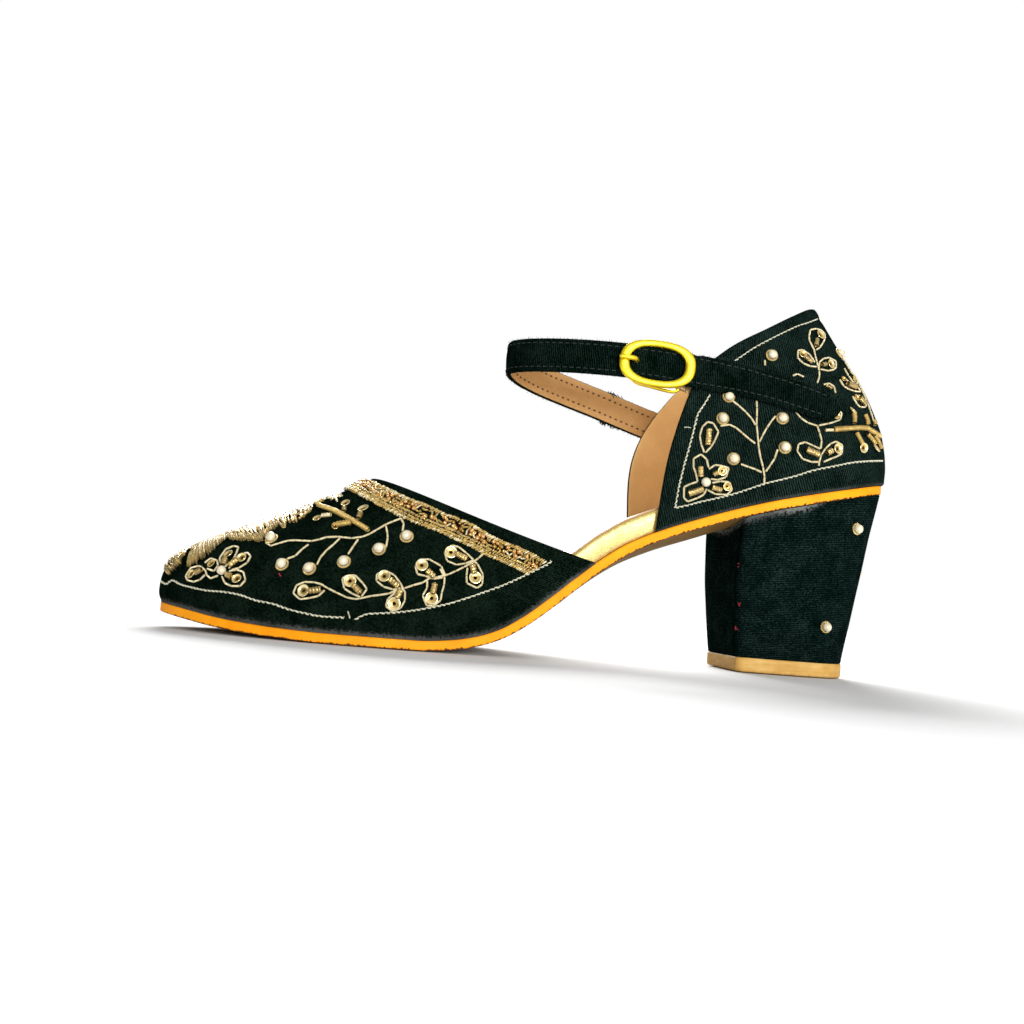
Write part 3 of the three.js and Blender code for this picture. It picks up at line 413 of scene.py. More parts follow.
class Bag:
    """Collects small shapes that share one material into one mesh."""

    def __init__(self):
        self.v, self.q, self.t, self.st, self.n = [], [], [], [], 0

    def add(self, V, quads=None, tris=None, st=None):
        V = np.asarray(V, float).reshape(-1, 3)
        if quads is not None and len(quads):
            self.q.append(np.asarray(quads) + self.n)
        if tris is not None and len(tris):
            self.t.append(np.asarray(tris) + self.n)
        self.st.append(np.zeros((len(V), 3)) if st is None else np.asarray(st, float).reshape(-1, 3))
        self.v.append(V)
        self.n += len(V)

    def make(self, name, material, smooth=True):
        if not self.n:
            return None
        faces = []
        if self.q:
            faces.append(np.concatenate(self.q))
        if self.t:
            faces.append(np.concatenate(self.t))
        return put(
            name, np.concatenate(self.v), faces, [material], smooth=smooth,
            attrs={"st": np.concatenate(self.st)},
        )


def tube(bag, P, N, radius, sides=6, closed=False, flat=1.0, caps=True):
    """A round cord along the points P; N gives the direction away from the surface it lies on."""
    P = np.asarray(P, float)
    n = len(P)
    if n < 2:
        return
    if closed:
        T = unit(np.roll(P, -1, 0) - np.roll(P, 1, 0))
    else:
        T = unit(np.gradient(P, axis=0))
    N = np.broadcast_to(np.asarray(N, float), P.shape)
    B = unit(np.cross(T, N))
    M = np.cross(B, T)
    a = np.linspace(0, 2 * math.pi, sides, endpoint=False)
    r = np.broadcast_to(np.asarray(radius, float), (n,))[:, None, None]
    ring = P[:, None] + r * (
        np.cos(a)[None, :, None] * B[:, None] + flat * np.sin(a)[None, :, None] * M[:, None]
    )
    run = np.concatenate([[0], np.cumsum(np.linalg.norm(np.diff(P, axis=0), axis=1))])
    st = np.stack(
        [np.repeat(run, sides), np.tile(a / (2 * math.pi), n), np.zeros(n * sides)], -1
    )
    q = grid_faces(n, sides, flip=True, wrap_i=closed, wrap_j=True)
    V = ring.reshape(-1, 3)
    t = None
    if caps and not closed:
        V = np.concatenate([V, [P[0] - T[0] * r[0, 0, 0] * 0.5], [P[-1] + T[-1] * r[-1, 0, 0] * 0.5]])
        st = np.concatenate([st, [[0, 0, 0]], [[run[-1], 0, 0]]])
        k = np.arange(sides)
        c0, c1 = n * sides, n * sides + 1
        t = np.concatenate(
            [
                np.stack([np.full(sides, c0), (k + 1) % sides, k], -1),
                np.stack(
                    [np.full(sides, c1), (n - 1) * sides + k, (n - 1) * sides + (k + 1) % sides], -1
                ),
            ]
        )
        t = t[:, ::-1]
    bag.add(V, q, t, st)


def lathe(bag, centre, axis, rows, seg=16, closed=False):
    """Turns rows of (radius, height) about axis at centre."""
    axis = unit(np.asarray(axis, float))
    ref = np.array([0.3, 0.1, 1.0]) if abs(axis[2]) < 0.9 else np.array([1.0, 0.1, 0.2])
    e1 = unit(np.cross(axis, ref))
    e2 = np.cross(axis, e1)
    a = np.linspace(0, 2 * math.pi, seg, endpoint=False)
    rows = np.asarray(rows, float)
    V = (
        np.asarray(centre, float)[None, None]
        + rows[:, None, 0, None] * (np.cos(a)[None, :, None] * e1 + np.sin(a)[None, :, None] * e2)
        + rows[:, None, 1, None] * axis
    )
    q = grid_faces(len(rows), seg, flip=True, wrap_i=closed, wrap_j=True)
    st = np.stack(
        [np.repeat(rows[:, 0], seg), np.tile(a / (2 * math.pi), len(rows)), np.repeat(rows[:, 1], seg)],
        -1,
    )
    bag.add(V, q, None, st)


def ball(bag, centre, axis, r, seg=16, rings=9, squash=1.0):
    t = np.linspace(0.0, math.pi, rings)
    rows = np.stack([np.maximum(np.sin(t), 1e-3) * r, -np.cos(t) * r * squash], -1)
    lathe(bag, centre, axis, rows, seg)


# ------------------------------------------------------------------ node materials
def material(name, colour, rough, metal=0.0, **more):
    m = bpy.data.materials.new(name)
    m.use_nodes = True
    nt = m.node_tree
    b = nt.nodes["Principled BSDF"]
    b.inputs["Base Color"].default_value = (*colour, 1)
    b.inputs["Roughness"].default_value = rough
    b.inputs["Metallic"].default_value = metal
    for k, v in more.items():
        key = k.replace("_", " ")
        s = b.inputs[key]
        s.default_value = (*v, 1) if isinstance(v, tuple) and len(v) == 3 and s.type == "RGBA" else v
    m.diffuse_color = (*colour, 1)
    return m, nt, b


class Nodes:
    def __init__(self, nt):
        self.nt = nt

    def new(self, kind, props=None, **inputs):
        n = self.nt.nodes.new(kind)
        for k, v in (props or {}).items():
            setattr(n, k, v)
        for k, v in inputs.items():
            key = k.replace("_", " ")
            s = n.inputs[key] if key in n.inputs else n.inputs[int(k[1:])]
            self.feed(s, v)
        return n

    def feed(self, socket, v):
        if isinstance(v, bpy.types.NodeSocket):
            self.nt.links.new(v, socket)
        elif isinstance(v, bpy.types.Node):
            self.nt.links.new(v.outputs[0], socket)
        else:
            socket.default_value = v

    def math(self, op, a, b=0.0, clamp=False):
        n = self.nt.nodes.new("ShaderNodeMath")
        n.operation = op
        n.use_clamp = clamp
        self.feed(n.inputs[0], a)
        self.feed(n.inputs[1], b)
        return n.outputs[0]

    def place(self, scale=(1000, 1000, 1000), rot=(0, 0, 0)):
        tc = self.nt.nodes.new("ShaderNodeTexCoord")
        mp = self.nt.nodes.new("ShaderNodeMapping")
        mp.inputs["Scale"].default_value = scale
        mp.inputs["Rotation"].default_value = rot
        self.nt.links.new(tc.outputs["Object"], mp.inputs["Vector"])
        return mp.outputs["Vector"]

    def attr(self, name, scale=(1, 1, 1), rot=(0, 0, 0)):
        at = self.nt.nodes.new("ShaderNodeAttribute")
        at.attribute_name = name
        mp = self.nt.nodes.new("ShaderNodeMapping")
        mp.inputs["Scale"].default_value = scale
        mp.inputs["Rotation"].default_value = rot
        self.nt.links.new(at.outputs["Vector"], mp.inputs["Vector"])
        return mp.outputs["Vector"]

    def value(self, name):
        at = self.nt.nodes.new("ShaderNodeAttribute")
        at.attribute_name = name
        return at.outputs["Fac"]

    def noise(self, vec, scale, detail=3.0, rough=0.55):
        n = self.new("ShaderNodeTexNoise", Vector=vec, Scale=scale, Detail=detail, Roughness=rough)
        return n.outputs["Fac"]

    def wave(self, vec, scale, distort=1.5, detail=2.0, axis="X", dscale=1.2):
        n = self.new(
            "ShaderNodeTexWave",
            {"wave_type": "BANDS", "bands_direction": axis, "wave_profile": "SIN"},
            Vector=vec, Scale=scale, Distortion=distort, Detail=detail, Detail_Scale=dscale,
        )
        return n.outputs["Fac"]

    def ramp(self, fac, stops):
        n = self.nt.nodes.new("ShaderNodeValToRGB")
        e = n.color_ramp.elements
        while len(e) < len(stops):
            e.new(0.5)
        for k, (pos, c) in enumerate(stops):
            e[k].position = pos
            e[k].color = (*c, 1) if len(c) == 3 else c
        self.feed(n.inputs[0], fac)
        return n.outputs["Color"]

    def mix(self, fac, a, b, kind="MIX"):
        n = self.nt.nodes.new("ShaderNodeMix")
        n.data_type = "RGBA"
        n.blend_type = kind
        self.feed(n.inputs[0], fac)
        self.feed(n.inputs[6], (*a, 1) if isinstance(a, tuple) else a)
        self.feed(n.inputs[7], (*b, 1) if isinstance(b, tuple) else b)
        return n.outputs[2]

    def bump(self, height, strength, distance, under=None):
        n = self.new("ShaderNodeBump", Height=height, Strength=strength, Distance=distance)
        if under is not None:
            self.nt.links.new(under, n.inputs["Normal"])
        return n.outputs["Normal"]


def twill(name, dark=(0.0002, 0.0020, 0.0009), light=(0.010, 0.020, 0.013), dust_and_sheen=0.0, lean=-8.0, dust_and_sheen_high=2.1, rib=0.22, grey=0.10):
    """Dark green-black napped twill: fine slanted ribs, brushed nap, stray lint and, where dust_and_sheen is
    above 0, grey mixed in along the edge that the "edge" attribute measures from: real glue and dust, and on the heel
    also a painted sheen."""
    m, nt, b = material(
        name, dark, 1.0, Specular_IOR_Level=0.0,
    )
    k = Nodes(nt)
    obj = k.place()
    vec = k.attr("st", rot=(0, 0, math.radians(lean)))
    ribs = k.wave(vec, 0.44, distort=3.0, detail=3.0, dscale=1.6)
    nap = k.noise(obj, 2.6, 4.0, 0.7)
    flecks = k.noise(obj, 1.75, 3.0, 0.75)
    broad = k.noise(obj, 0.16, 3.0, 0.55)
    tone = k.math("ADD", k.math("MULTIPLY", ribs, rib), k.math("MULTIPLY", flecks, 0.80))
    tone = k.math("ADD", tone, k.math("MULTIPLY", broad, 0.30))
    mid = tuple((np.array(dark) * 0.6 + np.array(light) * 0.20).tolist())
    top = 0.55 + rib * 0.5
    col = k.ramp(tone, [(top - 0.08, dark), (top + 0.04, mid), (top + 0.15, light)])
    lint = k.ramp(k.noise(obj, 1.1, 2.0, 0.6), [(0.755, (0, 0, 0)), (0.80, (1, 1, 1))])
    col = k.mix(k.math("MULTIPLY", lint, 0.30), col, (0.06, 0.085, 0.075))
    if dust_and_sheen > 0:
        # grey along the edge: real glue and dust, and on the heel also a painted sheen (painted highlight) down the
        # flank
        band = k.math("SUBTRACT", 1.0, k.math("DIVIDE", k.value("edge"), dust_and_sheen_high), clamp=True)
        grime_and_sheen = k.ramp(
            k.math("ADD", k.noise(obj, 1.3, 5.0, 0.75), k.math("MULTIPLY", band, 0.30)),
            [(0.60, (0, 0, 0)), (0.76, (1, 1, 1))],
        )
        spread = k.ramp(k.noise(obj, 0.06, 2.0, 0.5), [(0.34, (0.45, 0.45, 0.45)), (0.52, (1, 1, 1))])
        amount = k.math("MULTIPLY", k.math("MULTIPLY", grime_and_sheen, band), k.math("MULTIPLY", spread, dust_and_sheen))
        col = k.mix(amount, col, (grey, grey * 1.03, grey * 0.97))
    nt.links.new(col, b.inputs["Base Color"])
    h = k.math("ADD", k.math("MULTIPLY", ribs, 0.5), k.math("MULTIPLY", nap, 0.9))
    nt.links.new(k.bump(h, 0.75, 0.00022), b.inputs["Normal"])
    return m


def metal_thread(name, colour, dark, rough=0.36, metal=0.75, pitch=2.2, depth=0.00012):
    """Coiled or twisted metal thread: fine turns across the cord, with painted shade darkening the grooves between
    them, and tone that differs at random along it.
    """
    m, nt, b = material(name, colour, rough, metal, Specular_IOR_Level=0.5)
    k = Nodes(nt)
    vec = k.attr("st", scale=(1, 1.2, 1))
    turns = k.wave(vec, pitch, distort=0.25, detail=0.0)
    patch = k.noise(k.place(), 0.55, 2.0, 0.6)
    # the dark colour falls in the grooves of the turns: painted shade; the patches are random tone
    tone = k.math("ADD", k.math("MULTIPLY", turns, 0.55), k.math("MULTIPLY", patch, 0.7))
    nt.links.new(k.ramp(tone, [(0.30, dark), (0.66, colour)]), b.inputs["Base Color"])
    nt.links.new(k.bump(turns, 0.7, depth), b.inputs["Normal"])
    return m


M = {}
M["twill"] = twill("twill_vamp", dust_and_sheen=1.0, grey=0.075)
M["back"] = twill("twill_quarter", dark=(0.0005, 0.0026, 0.0017), light=(0.015, 0.028, 0.023), dust_and_sheen=0.30, lean=-20.0, dust_and_sheen_high=1.2, rib=0.30)
M["strap"] = twill("twill_strap", light=(0.0085, 0.017, 0.014), lean=-12.0)
# on the heel the grey is real dust under the sole and a painted sheen down the flank beside the seam
M["heel"] = twill("twill_heel", dark=(0.0004, 0.0030, 0.0023), light=(0.0125, 0.025, 0.022), dust_and_sheen=1.0, lean=84.0, dust_and_sheen_high=3.6, rib=0.14, grey=0.19)
M["cord"] = metal_thread("cord_cream_gold", (1.0, 0.88, 0.55), (0.46, 0.34, 0.15), 0.26, 0.25)
M["stitch"] = metal_thread("stitch_cream", (0.78, 0.76, 0.58), (0.34, 0.32, 0.20), 0.5, 0.1, 1.3)
M["purl"] = metal_thread("purl_gold", (0.80, 0.56, 0.17), (0.15, 0.08, 0.018), 0.32, 0.45)
M["ring"] = metal_thread("ring_gold", (0.90, 0.68, 0.28), (0.30, 0.18, 0.05), 0.3, 0.75, 1.6)
M["satin"] = metal_thread("satin_gold", (0.58, 0.42, 0.145), (0.13, 0.075, 0.018), 0.42, 0.35, 0.9)


def sequin_metal():
    """Gold cups: a painted highlight on the rims and painted shade in the brown dish."""
    m, nt, b = material("sequin_gold", (0.86, 0.64, 0.26), 0.25, 0.85)
    k = Nodes(nt)
    sep = k.new("ShaderNodeSeparateXYZ")
    k.feed(sep.inputs[0], k.attr("st"))
    patch = k.noise(k.place(), 1.1, 2.0, 0.6)
    # colour goes from dark in the middle to bright at the rim: painted shade in the dish, painted highlight on the rim
    tone = k.math("ADD", k.math("MULTIPLY", sep.outputs[0], 0.46), k.math("MULTIPLY", patch, 0.35))
    nt.links.new(
        k.ramp(tone, [(0.34, (0.26, 0.14, 0.03)), (0.60, (0.66, 0.45, 0.14)), (0.82, (0.98, 0.84, 0.46))]),
        b.inputs["Base Color"],
    )
    nt.links.new(k.bump(patch, 0.4, 0.0001), b.inputs["Normal"])
    return m


M["sequin"] = sequin_metal()


def bead_glass(name, colour, dark):
    m, nt, b = material(name, colour, 0.18, 0.7, Coat_Weight=0.6, Coat_Roughness=0.08)
    k = Nodes(nt)
    vec = k.attr("st", scale=(0.4, 6.0, 1))
    flutes = k.wave(vec, 1.0, distort=0.4, detail=1.0, axis="Y")
    patch = k.noise(k.place(), 0.8, 2.0, 0.6)
    # the dark colour falls in the grooves between the flutes: painted shade; the patches are random tone
    tone = k.math("ADD", k.math("MULTIPLY", flutes, 0.5), k.math("MULTIPLY", patch, 0.75))
    nt.links.new(k.ramp(tone, [(0.44, dark), (0.74, colour)]), b.inputs["Base Color"])
    nt.links.new(k.bump(flutes, 0.5, 0.0001), b.inputs["Normal"])
    return m


M["bugle"] = bead_glass("bugle_gold", (0.82, 0.58, 0.20), (0.05, 0.026, 0.006))
M["amber"] = bead_glass("bead_amber", (0.95, 0.58, 0.20), (0.50, 0.22, 0.05))


def pearl():
    m, nt, b = material(
        "pearl_cream", (0.70, 0.66, 0.54), 0.25, 0.0, Coat_Weight=0.7, Coat_Roughness=0.1,
        Subsurface_Weight=0.15, Subsurface_Scale=0.0008, Sheen_Weight=0.2,
    )
    k = Nodes(nt)
    n = k.noise(k.place(), 0.45, 2.0, 0.5)
    nt.links.new(
        k.ramp(n, [(0.3, (0.50, 0.43, 0.27)), (0.62, (0.70, 0.64, 0.47))]), b.inputs["Base Color"]
    )
    return m


M["pearl"] = pearl()


def leather(name, colour, deep, rough=0.6, grain=1.5, strength=0.25, spots=0.0):
    m, nt, b = material(name, colour, rough, 0.0, Specular_IOR_Level=0.12)
    k = Nodes(nt)
    obj = k.place()
    broad = k.noise(obj, 0.07, 3.0, 0.6)
    fine = k.noise(obj, grain, 4.0, 0.6)
    tone = k.math("ADD", k.math("MULTIPLY", broad, 0.6), k.math("MULTIPLY", fine, 0.4))
    nt.links.new(k.ramp(tone, [(0.36, deep), (0.62, colour)]), b.inputs["Base Color"])
    nt.links.new(k.bump(fine, strength, 0.0001), b.inputs["Normal"])
    return m


M["lining"] = leather("lining_tan", (0.97, 0.66, 0.31), (0.86, 0.56, 0.25), 0.7)
M["strap_lining"] = leather("lining_strap", (0.58, 0.35, 0.15), (0.47, 0.27, 0.10), 0.6)
M["sock"] = leather("sock_peach", (0.50, 0.31, 0.16), (0.40, 0.24, 0.11), 0.55)
M["sole_under"] = leather("sole_under_tan", (0.22, 0.125, 0.03), (0.155, 0.08, 0.016), 0.75, 0.9, 0.3)


def edge_paint():
    """Orange edge paint, brushed on by hand, with dark nicks along its lower margin."""
    m, nt, b = material("edge_paint_orange", (0.85, 0.30, 0.004), 0.6, 0.0, Specular_IOR_Level=0.12)
    k = Nodes(nt)
    obj = k.place()
    low = k.math("SUBTRACT", 1.0, k.math("DIVIDE", k.value("edge"), 0.95), clamp=True)
    chips = k.noise(k.place(scale=(1000, 1000, 300)), 1.15, 3.0, 0.65)
    nick = k.ramp(
        k.math("ADD", chips, k.math("MULTIPLY", low, 0.42)), [(0.76, (0, 0, 0)), (0.83, (1, 1, 1))]
    )
    tone = k.noise(obj, 0.12, 3.0, 0.6)
    col = k.ramp(tone, [(0.3, (0.82, 0.27, 0.003)), (0.65, (0.92, 0.34, 0.006))])
    col = k.mix(nick, col, (0.09, 0.035, 0.012))
    nt.links.new(col, b.inputs["Base Color"])
    nt.links.new(k.bump(k.math("SUBTRACT", k.noise(obj, 0.8, 3.0), nick), 0.35, 0.0002), b.inputs["Normal"])
    return m


M["edge"] = edge_paint()


def glitter():
    """Pale gold glitter binding on the insole edge."""
    m, nt, b = material("glitter_gold", (0.90, 0.76, 0.40), 0.38, 0.45, Specular_IOR_Level=0.5)
    k = Nodes(nt)
    obj = k.place()
    v = k.new("ShaderNodeTexVoronoi", Vector=obj, Scale=3.2)
    grains = k.new("ShaderNodeSeparateColor", None)
    nt.links.new(v.outputs["Color"], grains.inputs[0])
    g = grains.outputs[0]
    tone = k.math("ADD", k.math("MULTIPLY", g, 0.6), k.math("MULTIPLY", k.noise(obj, 0.5, 2.0), 0.4))
    nt.links.new(
        k.ramp(tone, [(0.12, (0.34, 0.24, 0.07)), (0.32, (0.56, 0.44, 0.14)), (0.8, (0.70, 0.61, 0.24))]),
        b.inputs["Base Color"],
    )
    nt.links.new(k.bump(g, 0.6, 0.0002), b.inputs["Normal"])
    return m


M["glitter"] = glitter()


def lift_rubber():
    """Tan top lift: soft streaks along it, darker along its lower edge."""
    m, nt, b = material("lift_tan", (0.70, 0.44, 0.14), 0.6, 0.0, Specular_IOR_Level=0.12)
    k = Nodes(nt)
    obj = k.place()
    streak = k.noise(k.place(scale=(90, 90, 900)), 1.0, 3.0, 0.6)
    soft = k.noise(obj, 0.11, 3.0, 0.6)
    tone = k.math("ADD", k.math("MULTIPLY", streak, 0.45), k.math("MULTIPLY", soft, 0.55))
    col = k.ramp(tone, [(0.30, (0.38, 0.21, 0.05)), (0.48, (0.50, 0.29, 0.075)), (0.68, (0.62, 0.41, 0.15))])
    # darker towards the bottom edge of the lift
    low = k.math("SUBTRACT", 1.0, k.math("DIVIDE", k.value("edge"), 0.9), clamp=True)
    low_edge_dark = k.math("MULTIPLY", low, k.ramp(k.noise(obj, 0.9, 3.0), [(0.45, (0, 0, 0)), (0.62, (1, 1, 1))]))
    col = k.mix(k.math("MULTIPLY", low_edge_dark, 0.7), col, (0.16, 0.09, 0.04))
    nt.links.new(col, b.inputs["Base Color"])
    nt.links.new(k.bump(streak, 0.15, 0.0001), b.inputs["Normal"])
    return m


M["lift"] = lift_rubber()


def buckle_gold():
    m, nt, b = material("buckle_yellow_gold", (1.0, 0.78, 0.04), 0.36, 0.9)
    k = Nodes(nt)
    obj = k.place()
    n = k.noise(obj, 0.35, 3.0, 0.6)
    nt.links.new(k.ramp(n, [(0.3, (0.86, 0.62, 0.015)), (0.7, (0.95, 0.76, 0.04))]), b.inputs["Base Color"])
    nt.links.new(k.bump(k.noise(obj, 2.2, 3.0), 0.12, 0.0001), b.inputs["Normal"])
    return m


M["gold"] = buckle_gold()


def webbing():
    m, nt, b = material("elastic_tan", (0.62, 0.40, 0.18), 0.8, 0.0, Specular_IOR_Level=0.2)
    k = Nodes(nt)
    vec = k.attr("st")
    a = k.wave(vec, 0.55, 0.3, 0.0, "X")
    c = k.wave(vec, 0.35, 0.3, 0.0, "Y")
    t = k.math("MULTIPLY", a, c)
    nt.links.new(k.ramp(t, [(0.1, (0.40, 0.24, 0.10)), (0.6, (0.72, 0.50, 0.25))]), b.inputs["Base Color"])
    nt.links.new(k.bump(t, 0.6, 0.0002), b.inputs["Normal"])
    return m


M["elastic"] = webbing()
M["thread_dark"], _, _ = material("thread_green", (0.006, 0.013, 0.010), 0.8)
M["thread_brown"], _, _ = material("thread_brown", (0.10, 0.045, 0.02), 0.7)
M["fuzz"], _, _ = material("fuzz_fibre", (0.006, 0.013, 0.010), 1.0)
M["fuzz_pale"], _, _ = material("fuzz_pale", (0.26, 0.28, 0.26), 0.9)
M["red"], _, _ = material("thread_red", (0.22, 0.006, 0.02), 0.9)

# ------------------------------------------------------------------ camera and the surfaces it sees
CAM = np.array([-32.118, -367.396, 16.352])
RIGHT = np.array([0.99251378, -0.09317098, 0.0789656])
UP = np.array([-0.0859169, -0.07311548, 0.99361583])
VIEW = np.array([0.08680255, 0.99296188, 0.08057308])
FOCAL = 1110.09


def ray(px, py):
    d = VIEW + RIGHT * (px - 512) / FOCAL - UP * (py - 512) / FOCAL
    return d / np.linalg.norm(d)


class Surf:
    """A dense grid of points with outward normals that shapes are laid on, by grid coordinates."""

    def __init__(self, P, N=None, flip=False):
        self.P = P
        n, m = P.shape[:2]
        self.n, self.m = n, m
        if N is None:
            N = unit(np.cross(np.gradient(P, axis=0), np.gradient(P, axis=1)))
            if flip:
                N = -N
        self.N = N
        q = grid_faces(n, m)
        tris = np.concatenate([q[:, [0, 1, 2]], q[:, [0, 2, 3]]], 1).reshape(-1, 3)
        self.bvh = BVHTree.FromPolygons(P.reshape(-1, 3).tolist(), tris.tolist())
        self.last = 380.0
        self.nudge = (0.0, 0.4)

    def _coords(self, index, loc):
        cell, second = divmod(index, 2)
        i, j = divmod(cell, self.m - 1)
        p = self.P
        if not second:
            a, b, c = p[i, j], p[i + 1, j], p[i + 1, j + 1]
        else:
            a, b, c = p[i, j], p[i + 1, j + 1], p[i, j + 1]
        v0, v1, v2 = b - a, c - a, np.array(loc) - a
        d00, d01, d11 = v0 @ v0, v0 @ v1, v1 @ v1
        d20, d21 = v2 @ v0, v2 @ v1
        den = d00 * d11 - d01 * d01
        if abs(den) < 1e-12:
            return i + 0.5, j + 0.5
        w1, w2 = (d11 * d20 - d01 * d21) / den, (d00 * d21 - d01 * d20) / den
        if not second:
            return i + w1 + w2, j + w2
        return i + w1, j + w1 + w2

    def cast(self, px, py):
        d = ray(px, py)
        loc, _, index, dist = self.bvh.ray_cast(Vector(CAM), Vector(d))
        k = 0
        while index is None and k < 30:
            k += 1
            e = ray(px + self.nudge[0] * k, py + self.nudge[1] * k)
            loc, _, index, dist = self.bvh.ray_cast(Vector(CAM), Vector(e))
        if index is None:
            loc, _, index, _ = self.bvh.find_nearest(Vector(CAM + d * self.last))
        else:
            self.last = dist
        return self._coords(index, loc)

    def casts(self, pts):
        return np.array([self.cast(x, y) for x, y in pts])

    def near(self, p):
        loc, _, index, _ = self.bvh.find_nearest(Vector(p))
        return np.array(self._coords(index, loc))

    def at(self, ab, off=0.0):
        ab = np.asarray(ab, float).reshape(-1, 2)
        a, b = np.clip(ab[:, 0], 0, self.n - 1.001), np.clip(ab[:, 1], 0, self.m - 1.001)
        i, j = a.astype(int), b.astype(int)
        u, v = (a - i)[:, None], (b - j)[:, None]

        def lerp(g):
            return (
                g[i, j] * (1 - u) * (1 - v) + g[i + 1, j] * u * (1 - v)
                + g[i + 1, j + 1] * u * v + g[i, j + 1] * (1 - u) * v
            )

        P, N = lerp(self.P), unit(lerp(self.N))
        off = np.broadcast_to(np.asarray(off, float), (len(P),))[:, None]
        return P + N * off, N

    def mirror(self, ab):
        ab = np.array(ab, float)
        ab[:, 0] = self.n - 1 - ab[:, 0]
        return ab


def soft_step(x, a, b):
    t = np.clip((x - a) / (b - a), 0, 1)
    return t * t * (3 - 2 * t)


def arc_along(P, axis):
    """Distance along each line of a grid."""
    d = np.linalg.norm(np.diff(P, axis=axis), axis=-1)
    pad = [(0, 0), (0, 0)]
    pad[axis] = (1, 0)
    return np.cumsum(np.pad(d, pad), axis=axis)


def edge_round(d, r=1.0):
    """How far the wall has closed towards its middle at a distance d from its free edge, 0 to 1."""
    t = np.clip(d / r, 0, 1)
    return 1 - np.sqrt(np.maximum(0, 1 - (1 - t) ** 2))


def groove(d, width):
    return np.exp(-((d / width) ** 2))


# ------------------------------------------------------------------ vamp
ACROSS, ALONG = 200, 132
_t = np.linspace(0, 1, ACROSS + 1)
TURN = 2 * (_t - 0.08 * np.sin(2 * math.pi * _t))
_u = np.concatenate([[0, 0.0006, 0.0018, 0.0035, 0.006, 0.009], 0.013 + 0.987 * (1 - (1 - np.linspace(0, 1, ALONG - 5)) ** 1.55)])


def vamp_sheet(inset):
    form = Vamp(inset)
    start = form.start(TURN)
    x = start[:, None] + (form.tip - start)[:, None] * _u[None]
    return form.at(x, np.broadcast_to(TURN[:, None], x.shape))


def vamp_creases(P):
    """Soft troughs and ridges: a flex trough behind the toes, slack at the waist end."""
    x, y, z = P[..., 0], P[..., 1], P[..., 2]
    s = np.zeros(x.shape)
    # shallow flex trough that runs up over the ball from each sole edge
    s -= 0.45 * groove(x + 0.22 * np.abs(y) + 14, 5.5) * soft_step(z, 4, 16)
    s += 0.30 * groove(x + 0.22 * np.abs(y) + 4, 6.0) * soft_step(z, 4, 16)
    s -= 0.28 * groove(x + 0.30 * np.abs(y) + 36, 6.5) * soft_step(z, 8, 22)
    s += 0.18 * groove(x + 0.30 * np.abs(y) + 48, 7.0) * soft_step(z, 8, 22)
    # lasting pull above the sole edge round the toe
    around = np.arctan2(y - 4, -(x + 60))
    s += 0.12 * np.sin(around * 34) * groove(z - 8.5, 3.2) * soft_step(-x, 60, 95)
    return s


Vo, Vi = vamp_sheet(0), vamp_sheet(UPPER_WALL)
_n = unit(np.cross(np.gradient(Vo, axis=0), np.gradient(Vo, axis=1)))
if _n[ACROSS // 2, ALONG // 2, 2] < 0:
    _n = -_n
_fade = soft_step(arc_along(Vo, 1), 0, 6)[..., None]
Vo = Vo + _n * vamp_creases(Vo)[..., None] * _fade
dist_throat = arc_along(Vo, 1)
_mid = (Vo + Vi) / 2
_k = edge_round(dist_throat, 1.0)[..., None]
Vo_r = Vo + (_mid - Vo) * _k
Vi_r = Vi + (_mid - Vi) * _k
vamp = Surf(Vo_r, N=_n)
Vn_flat = _n


def across_run(P):
    return arc_along(P, 0)


def tucked(P, inward):
    """A last row under each sole edge: the cloth turns in and meets the sole."""
    rows = []
    for k in (0, -1):
        r = P[k].copy()
        other = P[1] if k == 0 else P[-2]
        r[:, 2] = sole_top(r[:, 0]) + 0.02
        r[:, 1] += np.sign(P[len(P) // 2, 0, 1] - r[:, 1]) * inward
        rows.append(r)
    return np.concatenate([rows[0][None], P, rows[1][None]], 0)


def shell_piece(name, outer, inner, outer_st, edge, mats, lining_from, extra=None):
    """One closed cloth shell: outer and inner grids that meet at the free edges."""
    n, m = outer.shape[:2]
    A, B = n * m, n * m
    V = np.concatenate([outer.reshape(-1, 3), inner.reshape(-1, 3)])
    fo = grid_faces(n, m)
    fi = grid_faces(n, m, flip=True, base=A)
    idx = np.arange(n * m).reshape(n, m)
    strips = []

    def strip(a, b):
        return np.stack([a[:-1], a[1:], b[1:], b[:-1]], -1)

    strips.append(strip(idx[0], idx[0] + A)[:, ::-1])
    strips.append(strip(idx[-1], idx[-1] + A))
    strips.append(strip(idx[:, 0], idx[:, 0] + A))
    if extra != "tip":
        strips.append(strip(idx[:, -1], idx[:, -1] + A)[:, ::-1])
    fs = np.concatenate(strips)
    e = edge.reshape(-1)
    lined = (e[idx[:-1, :-1]].reshape(-1) > lining_from).astype(int)
    which = np.concatenate([np.zeros(len(fo), int), lined, np.zeros(len(fs), int)])
    st = np.concatenate([outer_st.reshape(-1, 3)] * 2)
    return V, [np.concatenate([fo, fi, fs])], which, st


_base = arc_along(Vo_r, 0)
_height = np.minimum(_base, _base[-1:] - _base)
# the cloth is drawn under at the toe
_draw = 1.0 * np.clip(1 - _height / 3.4, 0, 1) ** 2 * soft_step(-Vo_r[..., 0], 66, 104)
Vo_r = Vo_r - Vn_flat * _draw[..., None]
st_v = np.stack([-dist_throat, _base, np.zeros_like(_base)], -1)
